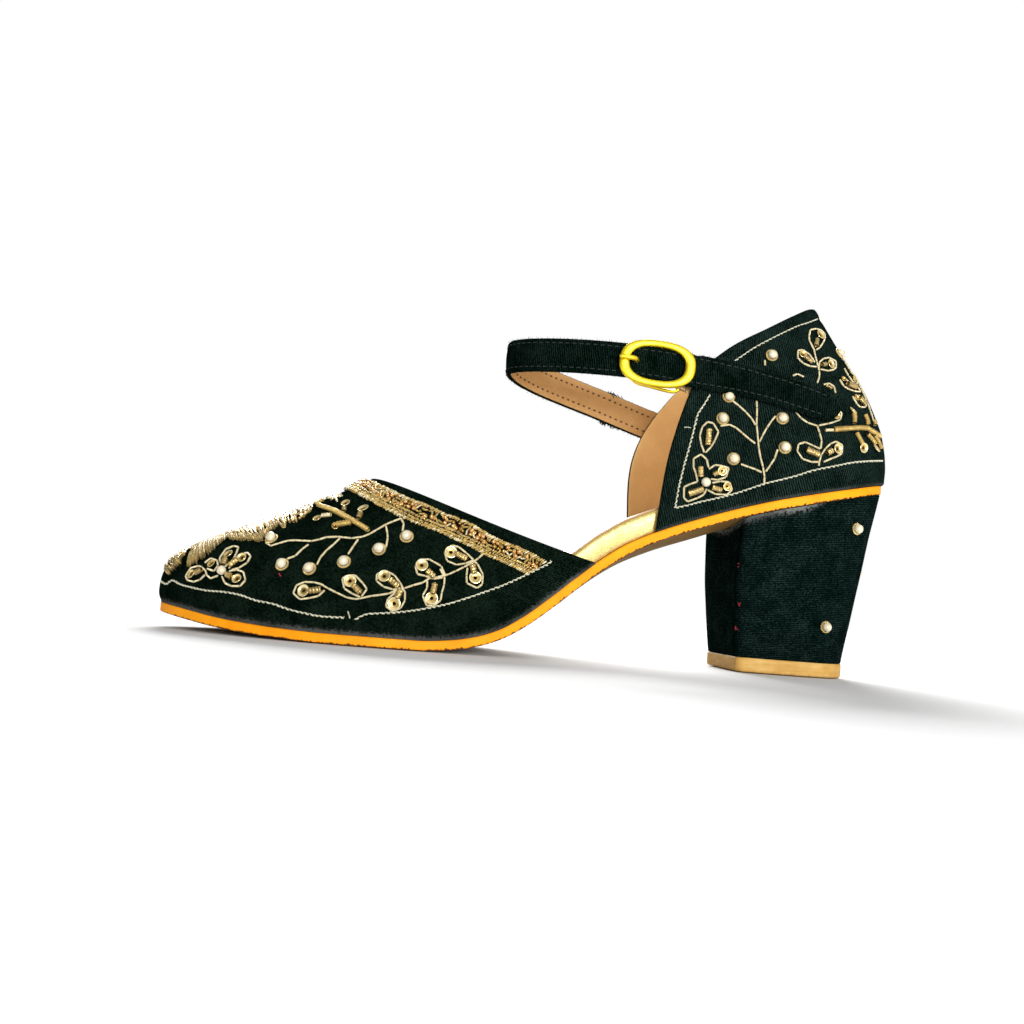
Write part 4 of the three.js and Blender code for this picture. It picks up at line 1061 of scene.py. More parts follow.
# rows under each sole edge
out_g, in_g = tucked(Vo_r, 0.35), tucked(Vi_r, 0.0)
st_g = np.concatenate([st_v[:1], st_v, st_v[-1:]], 0)
edge_g = np.concatenate([dist_throat[:1], dist_throat, dist_throat[-1:]], 0)
V, F, W, ST = shell_piece(
    "vamp", out_g, in_g, st_g, edge_g, None, 1.6, extra="tip"
)
_h = np.concatenate([_height[:1] * 0, _height, _height[-1:] * 0], 0).reshape(-1)
vamp_piece = put(
    "vamp_shell", V, F, [M["twill"], M["lining"]], W,
    attrs={"st": ST, "edge": np.concatenate([_h, _h])}, weld=True,
)
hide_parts("upper_vamp")

# ------------------------------------------------------------------ quarter
_e = np.array([0, 0.0005, 0.0016, 0.0032, 0.0055, 0.0085, 0.012])
_side = np.concatenate([_e, np.linspace(0.018, 1, 118)])
AROUND = np.concatenate([-(1 - _side), (1 - _side)[::-1][1:]])
_up = np.concatenate([np.linspace(0, 0.975, 74), 1 - np.array([0.017, 0.011, 0.0065, 0.0034, 0.0013, 0])])
QA, QR = np.meshgrid(AROUND, _up, indexing="ij")
Qo = quarter_at(QA, QR)
Qn = quarter_normal(QA, QR)
_top = arc_along(Qo[:, ::-1], 1)[:, ::-1]
_run = arc_along(Qo, 0)
_front = np.minimum(_run, _run[-1:] - _run)
free = np.minimum(_top, _front)
# the padded top line and slack between stitches
Qo = Qo + Qn * (
    0.22 * groove(_top - 2.2, 1.6)
    - 0.25 * groove(_top - 4.6, 1.0)
    + 0.18 * groove(_front - 2.2, 1.6)
    - 0.22 * groove(_front - 4.4, 1.0)
    + 0.22 * np.sin(Qo[..., 2] * 0.16 + QA * 4) * soft_step(free, 6, 16)
)[..., None]
# the upright seam at the back
Qo = Qo - Qn * (0.28 * groove(QA * 95, 0.8))[..., None]
Qi = quarter_at(QA, QR) - Qn * UPPER_WALL
_k = edge_round(free, 1.0)[..., None]
_mid = (Qo + Qi) / 2
Qo_r, Qi_r = Qo + (_mid - Qo) * _k, Qi + (_mid - Qi) * _k
Qi_r[:, 0, 2] = sole_top(Qi_r[:, 0, 0]) + SEAT_GAP
quarter = Surf(Qo_r, N=Qn)
quarter.nudge = (-0.4, 0.0)


def foot_row(P, inward):
    r = P[:, 0].copy()
    r -= Qn[:, 0] * inward * np.array([1, 1, 0])
    r[:, 2] = sole_top(r[:, 0]) + 0.02
    return np.concatenate([r[:, None], P], 1)


out_g, in_g = foot_row(Qo_r, 0.35), foot_row(Qi_r, 0.0)
_low = arc_along(Qo_r, 1)
st_q = np.stack([_run, _low, np.zeros_like(_low)], -1)
st_g = np.concatenate([st_q[:, :1], st_q], 1)
edge_g = np.concatenate([free[:, :1], free], 1)
V, F, W, ST = shell_piece("quarter", out_g, in_g, st_g, edge_g, None, 0.45)
_gn, _gm = out_g.shape[:2]
_fa = np.repeat(np.concatenate([AROUND])[:-1], _gm - 1)
_fe = np.minimum(edge_g[:-1, :-1], edge_g[1:, :-1]).reshape(-1)
W[: len(_fa)][(_fa > 0.55) & (_fe < 0.45)] = 1
_sf = 2 * len(_fa)
W[_sf + _gm - 1 : _sf + 2 * (_gm - 1)] = 1
_ts = _sf + 2 * (_gm - 1) + (_gn - 1)
W[_ts : _ts + _gn - 1][AROUND[:-1] > 0.55] = 1
_h = np.concatenate([_low[:, :1] * 0, _low], 1).reshape(-1)
quarter_piece = put(
    "quarter_shell", V, F, [M["back"], M["lining"]], W,
    attrs={"st": ST, "edge": np.concatenate([_h, _h])}, weld=True,
)
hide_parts("upper_quarter")


# ------------------------------------------------------------------ sole and insole
def loop_body(name, side, rings, mats, which_ring, steps=150, spine=(18, 22), attr_edge=None):
    """A flat body round a plan outline: rings of (inward offset, share towards the spine, height)."""
    t = np.linspace(0, 1, steps)
    x = side.toe + (side.heel - side.toe) * (0.5 - 0.5 * np.cos(math.pi * t))
    o = np.stack([x, side.outer(x)], -1)
    i = np.stack([x, side.inner(x)], -1)
    loop = np.concatenate([o, i[::-1][1:-1]])
    T = unit(np.roll(loop, -1, 0) - np.roll(loop, 1, 0))
    n_out = np.stack([T[:, 1], -T[:, 0]], -1)
    mid = (side.outer(loop[:, 0]) + side.inner(loop[:, 0])) / 2
    sx = np.clip(loop[:, 0], side.toe + spine[0], side.heel - spine[1])
    sp = np.stack([sx, np.interp(sx, x, (side.outer(x) + side.inner(x)) / 2)], -1)
    sign = np.sign(((loop - sp) * n_out).sum(-1).mean())
    n_out = n_out * sign
    P, E = [], []
    for off, share, z in rings:
        xy = loop - n_out * off
        xy = xy + (sp - xy) * share
        P.append(np.concatenate([xy, z(xy[:, 0], xy[:, 1])[:, None]], -1))
    P = np.array(P)
    n, m = P.shape[:2]
    q = grid_faces(n, m, wrap_j=True, flip=sign < 0)
    W = np.repeat(np.asarray(which_ring), m)
    E = np.repeat(np.asarray(attr_edge if attr_edge is not None else np.zeros(n), float), m)
    run = np.concatenate([[0], np.cumsum(np.linalg.norm(np.diff(P[n // 2], axis=0), axis=1))])
    st = np.stack([np.tile(run, n), P[..., 2].reshape(-1), np.zeros(n * m)], -1)
    return put(name, P.reshape(-1, 3), [q], mats, W, attrs={"edge": E, "st": st}, weld=True)


_st = lambda x, y: sole_top(x)
_un = lambda x, y: sole_under(x, y)


def mixz(a, f, g, da=0.0):
    return lambda x, y: f(x, y) * (1 - a) + g(x, y) * a + da


rings = [(0, 1.0, _st), (0, 0.6, _st), (0, 0.3, _st), (3.0, 0, _st), (0.7, 0, _st)]
edges = [9, 9, 9, 9, 9]
for off, a, e in [
    (0.22, 0.02, 2.9), (0.04, 0.09, 2.7), (0, 0.2, 2.4), (0, 0.4, 1.8), (0, 0.6, 1.2), (0, 0.75, 0.75),
    (0.02, 0.86, 0.4), (0.12, 0.95, 0.15), (0.4, 1.0, 0.0),
]:
    rings.append((off, 0, mixz(a, _st, _un)))
    edges.append(e)
n_edge = len(rings)
rings += [(1.2, 0, _un), (3.5, 0, _un), (0, 0.3, _un), (0, 0.5, _un), (0, 0.7, _un), (0, 0.85, _un), (0, 1.0, _un)]
edges += [0] * 7
wr = [0] * (n_edge - 1) + [1] * (len(rings) - n_edge)
sole_piece = loop_body(
    "outsole_sheet", SOLE_SIDES, rings, [M["edge"], M["sole_under"]], wr, steps=220, attr_edge=edges
)
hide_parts("outsole")

_il = lambda x, y: insole_low(x) - 0.3
_it = lambda x, y: insole_top(x) - 0.55
rings = [(0.6, 1.0, _il), (0.6, 0, _il)]
for off, a in [(0.1, 0.03), (0, 0.12), (-0.12, 0.3), (-0.16, 0.5), (-0.12, 0.7), (0, 0.86), (0.2, 0.96), (0.6, 1.0)]:
    rings.append((off, 0, mixz(a, _il, _it)))
rings += [(1.4, 0, _it), (1.4, 0.4, _it), (1.4, 1.0, _it)]
insole_piece = loop_body(
    "insole_board", Sides(-INSOLE_INSET), rings, [M["glitter"]], [0] * (len(rings) - 1), steps=180
)
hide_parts("insole")
_s0 = lambda x, y: insole_top(x) - 0.56
_s1 = lambda x, y: insole_top(x) + 0.12
rings = [(0.9, 0, _s0), (0.35, 0, mixz(0.15, _s0, _s1)), (0.25, 0, mixz(0.5, _s0, _s1)), (0.4, 0, mixz(0.85, _s0, _s1)), (0.8, 0, _s1), (2.0, 0, _s1), (2.0, 0.3, _s1), (2.0, 0.65, _s1), (2.0, 1.0, _s1)]
sock_piece = loop_body(
    "sock_lining", Sides(-INSOLE_INSET), rings, [M["sock"]], [0] * (len(rings) - 1), steps=180
)

# ------------------------------------------------------------------ heel block and top lift
_l, _bx, _kx, _hw = columns(HEEL_LEVELS)
heel_breast, heel_back, heel_half = curve(_l, _bx), curve(_l, _kx), curve(_l, _hw)


def heel_loop(level, off=0.0, corner=2.8, n_side=60, n_corner=9, n_front=20):
    """Plan loop of the heel at a level: along the outer side to the back, and round to the breast."""
    xb, xk, hf = float(heel_breast(level)) - off, float(heel_back(level)) + off, float(heel_half(level)) + off

    def half(x):
        s = np.clip((x - xb) / (xk - xb), 0, 1)
        front = np.where(s < 0.4, 1 - 0.055 * (np.maximum(0, 0.4 - s) / 0.4) ** 1.6, 1)
        rnd = np.where(s > 0.4, np.maximum(0, 1 - (np.maximum(0, s - 0.4) / 0.6) ** 3.2) ** (1 / 2.4), 1)
        return hf * front * rnd

    a = np.linspace(0, math.pi / 2, n_corner, endpoint=False)
    yc = half(xb + corner)
    cx, cy = xb + corner * (1 - np.sin(math.pi / 2 - a + 0) * 1.0), yc - corner * (1 - np.sin(a))
    cx = xb + corner * (1 - np.cos(a))
    t = np.linspace(0, 1, n_side)
    sx = xb + corner + (xk - xb - corner) * np.sin(t * math.pi / 2)
    sy = half(sx)
    ox, oy = np.concatenate([cx, sx]), np.concatenate([cy, sy])
    fy = np.linspace(yc - corner, -(yc - corner), n_front + 1)[1:-1]
    x = np.concatenate([ox, ox[::-1][1:], np.full(n_front - 1, xb)])
    y = np.concatenate([-oy, oy[::-1][1:], fy])
    return np.stack([x, y], -1)


def heel_rings(rows):
    """rows of (level, z at share, offset); returns rings of points."""
    out = []
    for level, share, off in rows:
        p = heel_loop(level, off)
        q = heel_loop(1, 0)
        hi = sole_under(q[:, 0], q[:, 1]) - 0.05
        lo = LIFT_THICKNESS + 0.02
        z = lo + (hi - lo) * share
        out.append(np.concatenate([p, z[:, None]], -1))
    return out


_lv = np.linspace(0.0, 1, 64)
rows = [(0.0, 0.0, -0.5), (0.0, 0.002, -0.12)] + [(v, 0.006 + 0.988 * v, 0.0) for v in _lv] + [(1, 0.998, -0.12), (1, 1.0, -0.5)]
HR = np.array(heel_rings(rows))


def heel_folds(P):
    """Folds of the cloth cover: lapped seam near the outer breast corner, slack near the top."""
    x, y, z = P[..., 0], P[..., 1], P[..., 2]
    # on both flanks: a lapped seam just behind the breast corner and slack folds beside it
    line = 76.4 + (z - 5) * 0.016
    s = np.zeros(x.shape)
    side = soft_step(np.abs(y), 10, 15) * np.where(x < 100, 1.0, 0.0)
    s += side * (0.42 * groove(x - line, 0.7) - 0.42 * groove(x - line - 1.5, 0.8))
    k = x - line - 4.6 - 0.8 * np.sin(z * 0.11)
    s += side * (0.30 * groove(k, 1.0) - 0.26 * groove(k - 2.0, 1.1)) * soft_step(z, 8, 26)
    s += 0.09 * np.sin(x * 0.55 + z * 0.10) * np.sin(z * 0.13)
    fr = np.where(x < 74.6, 1.0, 0.0)
    s += fr * (0.35 * groove(y + 3 + 1.5 * np.sin(z * 0.09), 1.1) - 0.30 * groove(y + 5.4 + 1.5 * np.sin(z * 0.09), 1.2))
    s += fr * 0.22 * groove(y - 9 - np.sin(z * 0.14), 1.3)
    top = soft_step(z, 42, 54)
    s += top * 0.13 * np.sin(np.arctan2(y, x - 95) * 30)
    return s


_c = HR.mean(1, keepdims=True)
_T = unit(np.roll(HR, -1, 1) - np.roll(HR, 1, 1))
_N = unit(np.stack([_T[..., 1], -_T[..., 0], 0 * _T[..., 0]], -1))
_N *= np.sign(((HR - _c)[..., :2] * _N[..., :2]).sum(-1).mean())
HN = _N
HR2 = HR + _N * heel_folds(HR)[..., None]
n, m = HR2.shape[:2]
q = grid_faces(n, m, wrap_j=True)
V = HR2.reshape(-1, 3)
# caps, as fans to a middle point
low, high = HR2[0].mean(0), HR2[-1].mean(0)
V = np.concatenate([V, [low], [high]])
kk = np.arange(m)
t0 = np.stack([np.full(m, n * m), (kk + 1) % m, kk], -1)
t1 = np.stack([np.full(m, n * m + 1), (n - 1) * m + kk, (n - 1) * m + (kk + 1) % m], -1)
_run = np.concatenate([[0], np.cumsum(np.linalg.norm(np.diff(HR2[n // 2], axis=0), axis=1))])
st = np.stack([np.tile(_run, n), HR2[..., 2].reshape(-1), np.zeros(n * m)], -1)
st = np.concatenate([st, [[0, 0, 0]], [[0, 60, 0]]])
_dn = (HR2[-1:, :, 2] - HR2[..., 2] + 6.0 * soft_step(HR2[..., 0], 90, 110)).reshape(-1)
# painted sheen: a soft grey band down each flank beside the lapped seam, a painted highlight carried in the "edge"
# attribute along with the real dust under the sole
_line = 76.4 + (HR2[..., 2] - 5) * 0.016 + 2.6
_sheen_band = 4.2 + np.abs(HR2[..., 0] - _line) * 0.22 + 9 * (np.abs(HR2[..., 1]) < 9)
edge = np.concatenate([np.minimum(_dn, _sheen_band.reshape(-1)), [9, 9]])
# which way the walls turn is settled by their own area
_a = np.cross(V[q[:, 1]] - V[q[:, 0]], V[q[:, 3]] - V[q[:, 0]])
_c0 = V[q].mean(1) - V[: n * m].mean(0)
if (_a * _c0).sum() < 0:
    q = q[:, ::-1]
_v = V[t1[:, 1]] - V[t1[:, 0]]
if np.cross(_v, V[t1[:, 2]] - V[t1[:, 0]])[:, 2].sum() < 0:
    t1 = t1[:, ::-1]
if np.cross(V[t0[:, 1]] - V[t0[:, 0]], V[t0[:, 2]] - V[t0[:, 0]])[:, 2].sum() > 0:
    t0 = t0[:, ::-1]
heel_piece = put(
    "heel_cover", V, [q, np.concatenate([t0, t1])], [M["heel"]], attrs={"st": st, "edge": edge}
)
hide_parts("heel_block")
_walls = [k for k in range(2, len(HR2) - 2)]
_nO = 69
heel_outer = Surf(HR2[_walls][:, :_nO].copy(), N=HN[_walls][:, :_nO])

LR = []
for z, off in [(0.0, -0.9), (0.05, -0.35), (0.3, -0.05), (0.7, 0.05), (2.2, 0.12), (3.9, 0.12), (4.35, 0.06), (4.55, -0.12), (4.6, -0.5)]:
    p = heel_loop(0, off)
    LR.append(np.concatenate([p, np.full((len(p), 1), z)], -1))
LR = np.array(LR)
n, m = LR.shape[:2]
q = grid_faces(n, m, wrap_j=True)
V = np.concatenate([LR.reshape(-1, 3), [LR[0].mean(0)], [LR[-1].mean(0)]])
_a = np.cross(V[q[:, 1]] - V[q[:, 0]], V[q[:, 3]] - V[q[:, 0]])
if (_a * (V[q].mean(1) - V[: n * m].mean(0))).sum() < 0:
    q = q[:, ::-1]
kk = np.arange(m)
t0 = np.stack([np.full(m, n * m), (kk + 1) % m, kk], -1)
t1 = np.stack([np.full(m, n * m + 1), (n - 1) * m + kk, (n - 1) * m + (kk + 1) % m], -1)
if np.cross(V[t1[:, 1]] - V[t1[:, 0]], V[t1[:, 2]] - V[t1[:, 0]])[:, 2].sum() < 0:
    t1 = t1[:, ::-1]
if np.cross(V[t0[:, 1]] - V[t0[:, 0]], V[t0[:, 2]] - V[t0[:, 0]])[:, 2].sum() > 0:
    t0 = t0[:, ::-1]
lift_piece = put(
    "top_lift", V, [q, np.concatenate([t0, t1])], [M["lift"]],
    attrs={"edge": np.concatenate([LR[..., 2].reshape(-1), [0, 4.6]])},
)
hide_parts("heel_top_lift")

# ------------------------------------------------------------------ ankle strap
_sp = np.array(STRAP_PATH, float)
_dense = catmull(_sp, 40)
_dense[:, 3] = np.clip(_dense[:, 3], 0, 1)
_len = np.concatenate([[0], np.cumsum(np.linalg.norm(np.diff(_dense[:, :3], axis=0), axis=1))])
STRAP_TOTAL = _len[-1]


def strap_mid(d):
    return np.stack([np.interp(d, _len, _dense[:, k]) for k in range(3)], -1), np.interp(
        d, _len, _dense[:, 3]
    )


def strap_half(d):
    left = STRAP_TOTAL - d
    tail = np.clip(1 - left / TAIL_LENGTH, 0, 1)
    full = (STRAP_WIDTH - (STRAP_WIDTH - TAIL_WIDTH) * np.minimum(1, tail * 2)) / 2
    k = np.clip(1 - left / TAIL_TIP, 0, 1)
    return full * np.sqrt(np.maximum(0.004, 1 - k**2.4))


_d = STRAP_TOTAL * np.concatenate([[0, 0.001, 0.003], np.linspace(0.006, 0.955, 400), 0.955 + 0.045 * np.sin(np.linspace(0, 1, 24)[1:] * math.pi / 2)])
_m, _follow = strap_mid(_d)
_T = unit(strap_mid(np.minimum(STRAP_TOTAL, _d + 0.8))[0] - strap_mid(np.maximum(0, _d - 0.8))[0])
_W = unit(np.array([0, 0, 1.0]) - _T * _T[:, 2:3])
_N = unit(np.cross(_T, _W))
_kw = np.linspace(-1, 1, 11)
_h = strap_half(_d)
_free = _m[:, None] + _W[:, None] * (_kw[None] * _h[:, None])[..., None] - _N[:, None] * STRAP_THICKNESS / 2
SP = _free.copy()
SN = np.broadcast_to(_N[:, None], SP.shape).copy()
for side in (-1, 1):
    on = (_follow > 0) & (np.sign(_m[:, 1]) == side)
    if not on.any():
        continue
    a, r = quarter_find(_free[on][..., 0], _free[on][..., 2], side)
    lie = quarter_at(a, r)
    qn = quarter_normal(np.clip(a, -0.995, 0.995), np.clip(r, 0.01, 0.99))
    lie = lie + qn * 0.36
    f = _follow[on][:, None, None]
    SP[on] = _free[on] * (1 - f) + lie * f
    SN[on] = unit(SN[on] * (1 - f) + qn * f)


def strap_at(wf, nn):
    """Points at width share wf (-1..1) and height nn over the inner face, for every station."""
    wf = np.clip(np.asarray(wf, float), -1, 1)
    pos = (wf + 1) / 2 * (len(_kw) - 1)
    i = np.minimum(pos.astype(int), len(_kw) - 2)
    u = (pos - i)[..., None]
    P = SP[:, i] * (1 - u) + SP[:, i + 1] * u
    N = unit(SN[:, i] * (1 - u) + SN[:, i + 1] * u)
    return P + N * np.asarray(nn)[..., None], N


_sec = 40
_th = np.linspace(0, 2 * math.pi, _sec, endpoint=False)
_cw, _sw = np.cos(_th), np.sin(_th)
_cwp = np.sign(_cw) * np.abs(_cw) ** 0.24  # nearly flat faces with rounded edges
_swp = np.sign(_sw) * np.abs(_sw) ** 0.62
_wf = _cwp
_nn = 1.0 + 0.98 * _swp
_taper = np.clip(_h / 3.2, 0.35, 1)
P, _ = strap_at(_wf[None] * np.ones((len(_d), 1)) if False else _wf, _nn)
_, _NN = strap_at(_wf, _nn)
# crown, stitch troughs and folded edges on the face that shows
_face = np.where(_sw > 0, 1.0, 0.0)
_mm = np.abs(_wf)[None] * _h[:, None]
_shape = _face[None] * (
    0.22 * (1 - _wf[None] ** 2)
    - 0.20 * groove(_h[:, None] - _mm - 1.55, 0.35)
    + 0.10 * groove(_h[:, None] - _mm - 0.8, 0.4)
)
_shape = _shape + _face[None] * 0.05 * np.sin(_d[:, None] * 0.9 + _wf[None] * 2)
P = P + _NN * _shape[..., None]
n, m = P.shape[:2]
V = np.concatenate([P.reshape(-1, 3), [P[0].mean(0)], [P[-1].mean(0)]])
q = grid_faces(n, m, wrap_j=True)
kk = np.arange(m)
t0 = np.stack([np.full(m, n * m), (kk + 1) % m, kk], -1)
t1 = np.stack([np.full(m, n * m + 1), (n - 1) * m + kk, (n - 1) * m + (kk + 1) % m], -1)
_a = np.cross(V[q[:, 1]] - V[q[:, 0]], V[q[:, 3]] - V[q[:, 0]])
_c0 = V[q].mean(1) - np.repeat(P.mean(1), m, 0)[q[:, 0]]
strap_flip = (_a * _c0).sum() < 0
if strap_flip:
    q, t0, t1 = q[:, ::-1], t0[:, ::-1], t1[:, ::-1]
_qj = np.tile(np.arange(m), n - 1)
_inner = ((_sw[_qj] < -0.2) & (_sw[(_qj + 1) % m] < -0.2) & (np.abs(_wf[_qj]) < 0.93)).astype(int)
W = np.concatenate([_inner, np.zeros(2 * m, int)])
st = np.stack([np.repeat(_d, m), (_wf[None] * _h[:, None]).reshape(-1), np.zeros(n * m)], -1)
st = np.concatenate([st, [[0, 0, 0]], [[STRAP_TOTAL, 0, 0]]])
strap_piece = put(
    "strap_band", V, [q, np.concatenate([t0, t1])], [M["strap"], M["strap_lining"]], W, attrs={"st": st}
)
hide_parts("ankle_strap")


def strap_point(d, w, n):
    """A point on the strap at length d, w mm up from its middle, n mm over its inner face."""
    d = np.atleast_1d(np.asarray(d, float))
    w = np.broadcast_to(np.asarray(w, float), d.shape)
    n = np.broadcast_to(np.asarray(n, float), d.shape)
    i = np.interp(d, _d, np.arange(len(_d)))
    i0 = np.minimum(i.astype(int), len(_d) - 2)
    u = (i - i0)[:, None]
    k = np.clip((w / strap_half(d) + 1) / 2 * (len(_kw) - 1), 0, len(_kw) - 1.001)
    k0 = k.astype(int)
    v = (k - k0)[:, None]

    def g(A):
        return (
            A[i0, k0] * (1 - u) * (1 - v) + A[i0 + 1, k0] * u * (1 - v)
            + A[i0 + 1, k0 + 1] * u * v + A[i0, k0 + 1] * (1 - u) * v
        )

    P, N = g(SP), unit(g(SN))
    return P + N * n[:, None], N


# stitches on the strap: tonal on the face, brown holes in the lining
face_thread, lining_thread = Bag(), Bag()
for w in (-1, 1):
    d = 3.0
    while d < STRAP_TOTAL - 7:
        h = float(strap_half(np.array([d]))[0])
        for bag, nn, wm, ln, rad in (
            (face_thread, STRAP_THICKNESS + 0.05, h - 1.55, 1.25, 0.17),
            (lining_thread, 0.0, h * 0.52, 0.62, 0.30),
        ):
            dd = np.linspace(d, d + ln, 4)
            P, N = strap_point(dd, w * wm, nn)
            sgn = 1 if bag is face_thread else -1
            lift = np.array([-0.1, 0.04, 0.04, -0.1])[:, None]
            tube(bag, P + N * lift * sgn, N, rad, sides=5)
        d += 2.25
ob = face_thread.make("strap_stitches", M["thread_dark"])
ob2 = lining_thread.make("strap_lining_stitches", M["thread_brown"])

# ------------------------------------------------------------------ buckle and elastic
BK_X, BK_DROP, BK_L, BK_H, BK_END, BK_SIDE, BK_T, BK_RAIL = 39.9, 0.35, 24.2, 14.8, 3.2, 2.1, 1.6, 1.1
_i = np.argmin(np.where(_dense[:, 1] < 0, np.abs(_dense[:, 0] - BK_X), 1e9))
_p0 = _dense[_i, :3]
_bT = unit(_dense[_i + 3, :3] - _dense[_i - 3, :3])
_bW = unit(np.array([0, 0, 1.0]) - _bT * _bT[2])
_bN = unit(np.cross(_bT, _bW))


def seat(t, w, n):
    t, w, n = np.broadcast_arrays(np.asarray(t, float), np.asarray(w, float), np.asarray(n, float))
    return _p0 + t[..., None] * _bT + w[..., None] * _bW + n[..., None] * _bN


HALF = STRAP_THICKNESS / 2
RING_LOW = HALF + 0.3 + 0.25
RAIL_W = STRAP_WIDTH / 2 + 0.3 + BK_RAIL / 2
BAR_T, BAR_N = 8.4, -(HALF + 0.3 + 1.05 + 0.3 + BK_RAIL / 2)
brass = Bag()


def oval(length, height, k, n):
    t = np.linspace(0, 2 * math.pi, n, endpoint=False)
    c, s = np.cos(t), np.sin(t)
    return (
        length / 2 * np.sign(c) * np.abs(c) ** (2 / k),
        height / 2 * np.sign(s) * np.abs(s) ** (2 / k),
    )


nphi = 168
ox, oy = oval(BK_L, BK_H, 2.5, nphi)
ix, iy = oval(BK_L - 2 * BK_END, BK_H - 2 * BK_SIDE, 2.5, nphi)
sec = []
for a in np.linspace(0, math.pi, 11):  # domed face from the outer wall to the inner wall
    sec.append(((1 - math.cos(a)) / 2, 0.85 + 0.75 * math.sin(a) ** 0.8))
sec = [(0.0, 0.12), (0.0, 0.45)] + sec + [(1.0, 0.45), (1.0, 0.12), (0.93, 0.0), (0.07, 0.0)]
R = np.zeros((nphi, len(sec), 3))
for j, (f, z) in enumerate(sec):
    R[:, j] = seat(ox + (ix - ox) * f, oy + (iy - oy) * f - BK_DROP, RING_LOW + z)
q = grid_faces(nphi, len(sec), wrap_i=True, wrap_j=True)
_a = np.cross(R.reshape(-1, 3)[q[:, 1]] - R.reshape(-1, 3)[q[:, 0]], R.reshape(-1, 3)[q[:, 3]] - R.reshape(-1, 3)[q[:, 0]])
_cc = np.repeat(R.mean(1), len(sec), 0)
if (_a * (R.reshape(-1, 3)[q].mean(1) - _cc[q[:, 0]])).sum() < 0:
    q = q[:, ::-1]
brass.add(R, q)
# back loop: from the front end of the ring, behind the strap on both sides, round the bar
rail = []
for w in (1, -1):
    sag = 0.0 if w > 0 else 1.15
    pts = [
        (-8.3, w * 4.9, RING_LOW + 0.35), (-7.2, w * (5.7 + sag * 0.4), RING_LOW - 0.2),
        (-5.0, w * (6.1 + sag * 0.8), RING_LOW - 1.3), (-1.0, w * (6.2 + sag), -0.3),
        (3.0, w * (6.25 + sag), -2.1), (6.0, w * (6.3 + sag), BAR_N + 0.35),
        (7.6, w * (6.1 + sag * 0.8), BAR_N), (BAR_T, w * 5.2, BAR_N),
    ]
    rail += pts if w > 0 else pts[::-1]
rail = catmull(rail, 6)
RP = seat(rail[:, 0], rail[:, 1], rail[:, 2])
tube(brass, RP, np.broadcast_to(_bN, RP.shape) + 0.35 * np.cross(unit(np.gradient(RP, axis=0)), _bW), BK_RAIL / 2, sides=10)
buckle_piece = brass.make("buckle_ring", M["gold"])
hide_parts("buckle_frame")
lift = RING_LOW + BK_T + 0.3 + 0.7
pin = Bag()
tp = catmull([(-12.3, 0, lift - 0.25), (-11.4, 0, lift), (-9.4, 0, lift + 0.02), (-7.7, 0, lift - 0.35), (-6.9, 0, lift - 1.3), (-6.6, 0, HALF + 0.2), (-6.5, 0, -HALF + 0.3)], 8)
TP = seat(tp[:, 0], tp[:, 1], tp[:, 2])
_rr = np.interp(np.arange(len(TP)), [0, 2, 6, len(TP)], [0.45, 0.68, 0.78, 0.78])
tube(pin, TP, np.broadcast_to(_bW, TP.shape), _rr, sides=12)
pin_piece = pin.make("buckle_prong", M["gold"])
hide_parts("buckle_tongue")

# elastic band folded over the bar
r_in = BK_RAIL / 2 + 0.12
path = [(21, BAR_N - 2.2), (15, BAR_N - 2.0), (12.0, BAR_N - 1.5), (9.8, BAR_N - 1.05), (BAR_T, BAR_N - r_in - 0.35), (BAR_T - 0.75, BAR_N - 0.65), (BAR_T - r_in - 0.36, BAR_N), (BAR_T - 0.75, BAR_N + 0.65), (BAR_T, BAR_N + r_in + 0.35), (9.4, BAR_N + 0.75), (11.0, BAR_N + 0.1), (12.6, BAR_N - 0.75), (15, BAR_N - 1.15), (21, BAR_N - 1.35)]
ep = catmull(path, 5)
et = unit(np.gradient(ep, axis=0))
en = np.stack([-et[:, 1], et[:, 0]], -1)
eh, el, esl, edr = 8.4, 0.62, 0.2, -2.0
secw = [(-0.5, 0.0), (-0.47, 0.4), (-0.2, 0.5), (0.2, 0.5), (0.47, 0.4), (0.5, 0.0), (0.47, -0.4), (0.2, -0.5), (-0.2, -0.5), (-0.47, -0.4)]
EP = np.zeros((len(ep), len(secw), 3))
for j, (w, h) in enumerate(secw):
    tt, nn2 = ep[:, 0] + en[:, 0] * h * el, ep[:, 1] + en[:, 1] * h * el
    EP[:, j] = seat(tt, edr + w * eh - esl * (tt - BAR_T), nn2)
# it stays inside the quarter's wall
for k in range(len(ep)):
    for j in range(len(secw)):
        p = EP[k, j]
        if p[0] > 50.2:
            a, r = quarter_find(np.array([p[0]]), np.array([p[2]]), -1)
            lim = quarter_at(np.clip(a, -1, -0.02), r)[0, 1] + UPPER_WALL + 0.15
            if p[1] < lim:
                EP[k, j, 1] = lim + 0.02 * j
band = Bag()
run = np.concatenate([[0], np.cumsum(np.linalg.norm(np.diff(EP[:, 0], axis=0), axis=1))])
st = np.stack([np.repeat(run, len(secw)), np.tile([w * eh for w, _ in secw], len(ep)), np.zeros(EP.shape[0] * EP.shape[1])], -1)
q = grid_faces(len(ep), len(secw), wrap_j=True)
_a = np.cross(EP.reshape(-1, 3)[q[:, 1]] - EP.reshape(-1, 3)[q[:, 0]], EP.reshape(-1, 3)[q[:, 3]] - EP.reshape(-1, 3)[q[:, 0]])
_cc = np.repeat(EP.mean(1), len(secw), 0)
if (_a * (EP.reshape(-1, 3)[q].mean(1) - _cc[q[:, 0]])).sum() < 0:
    q = q[:, ::-1]
kk = np.arange(1, len(secw) - 1)
base = (len(ep) - 1) * len(secw)
tcap = np.concatenate([np.stack([0 * kk, kk, kk + 1], -1), np.stack([0 * kk + base, base + kk + 1, base + kk], -1)])
band.add(EP, q, tcap, st)
elastic_piece = band.make("elastic_band", M["elastic"])
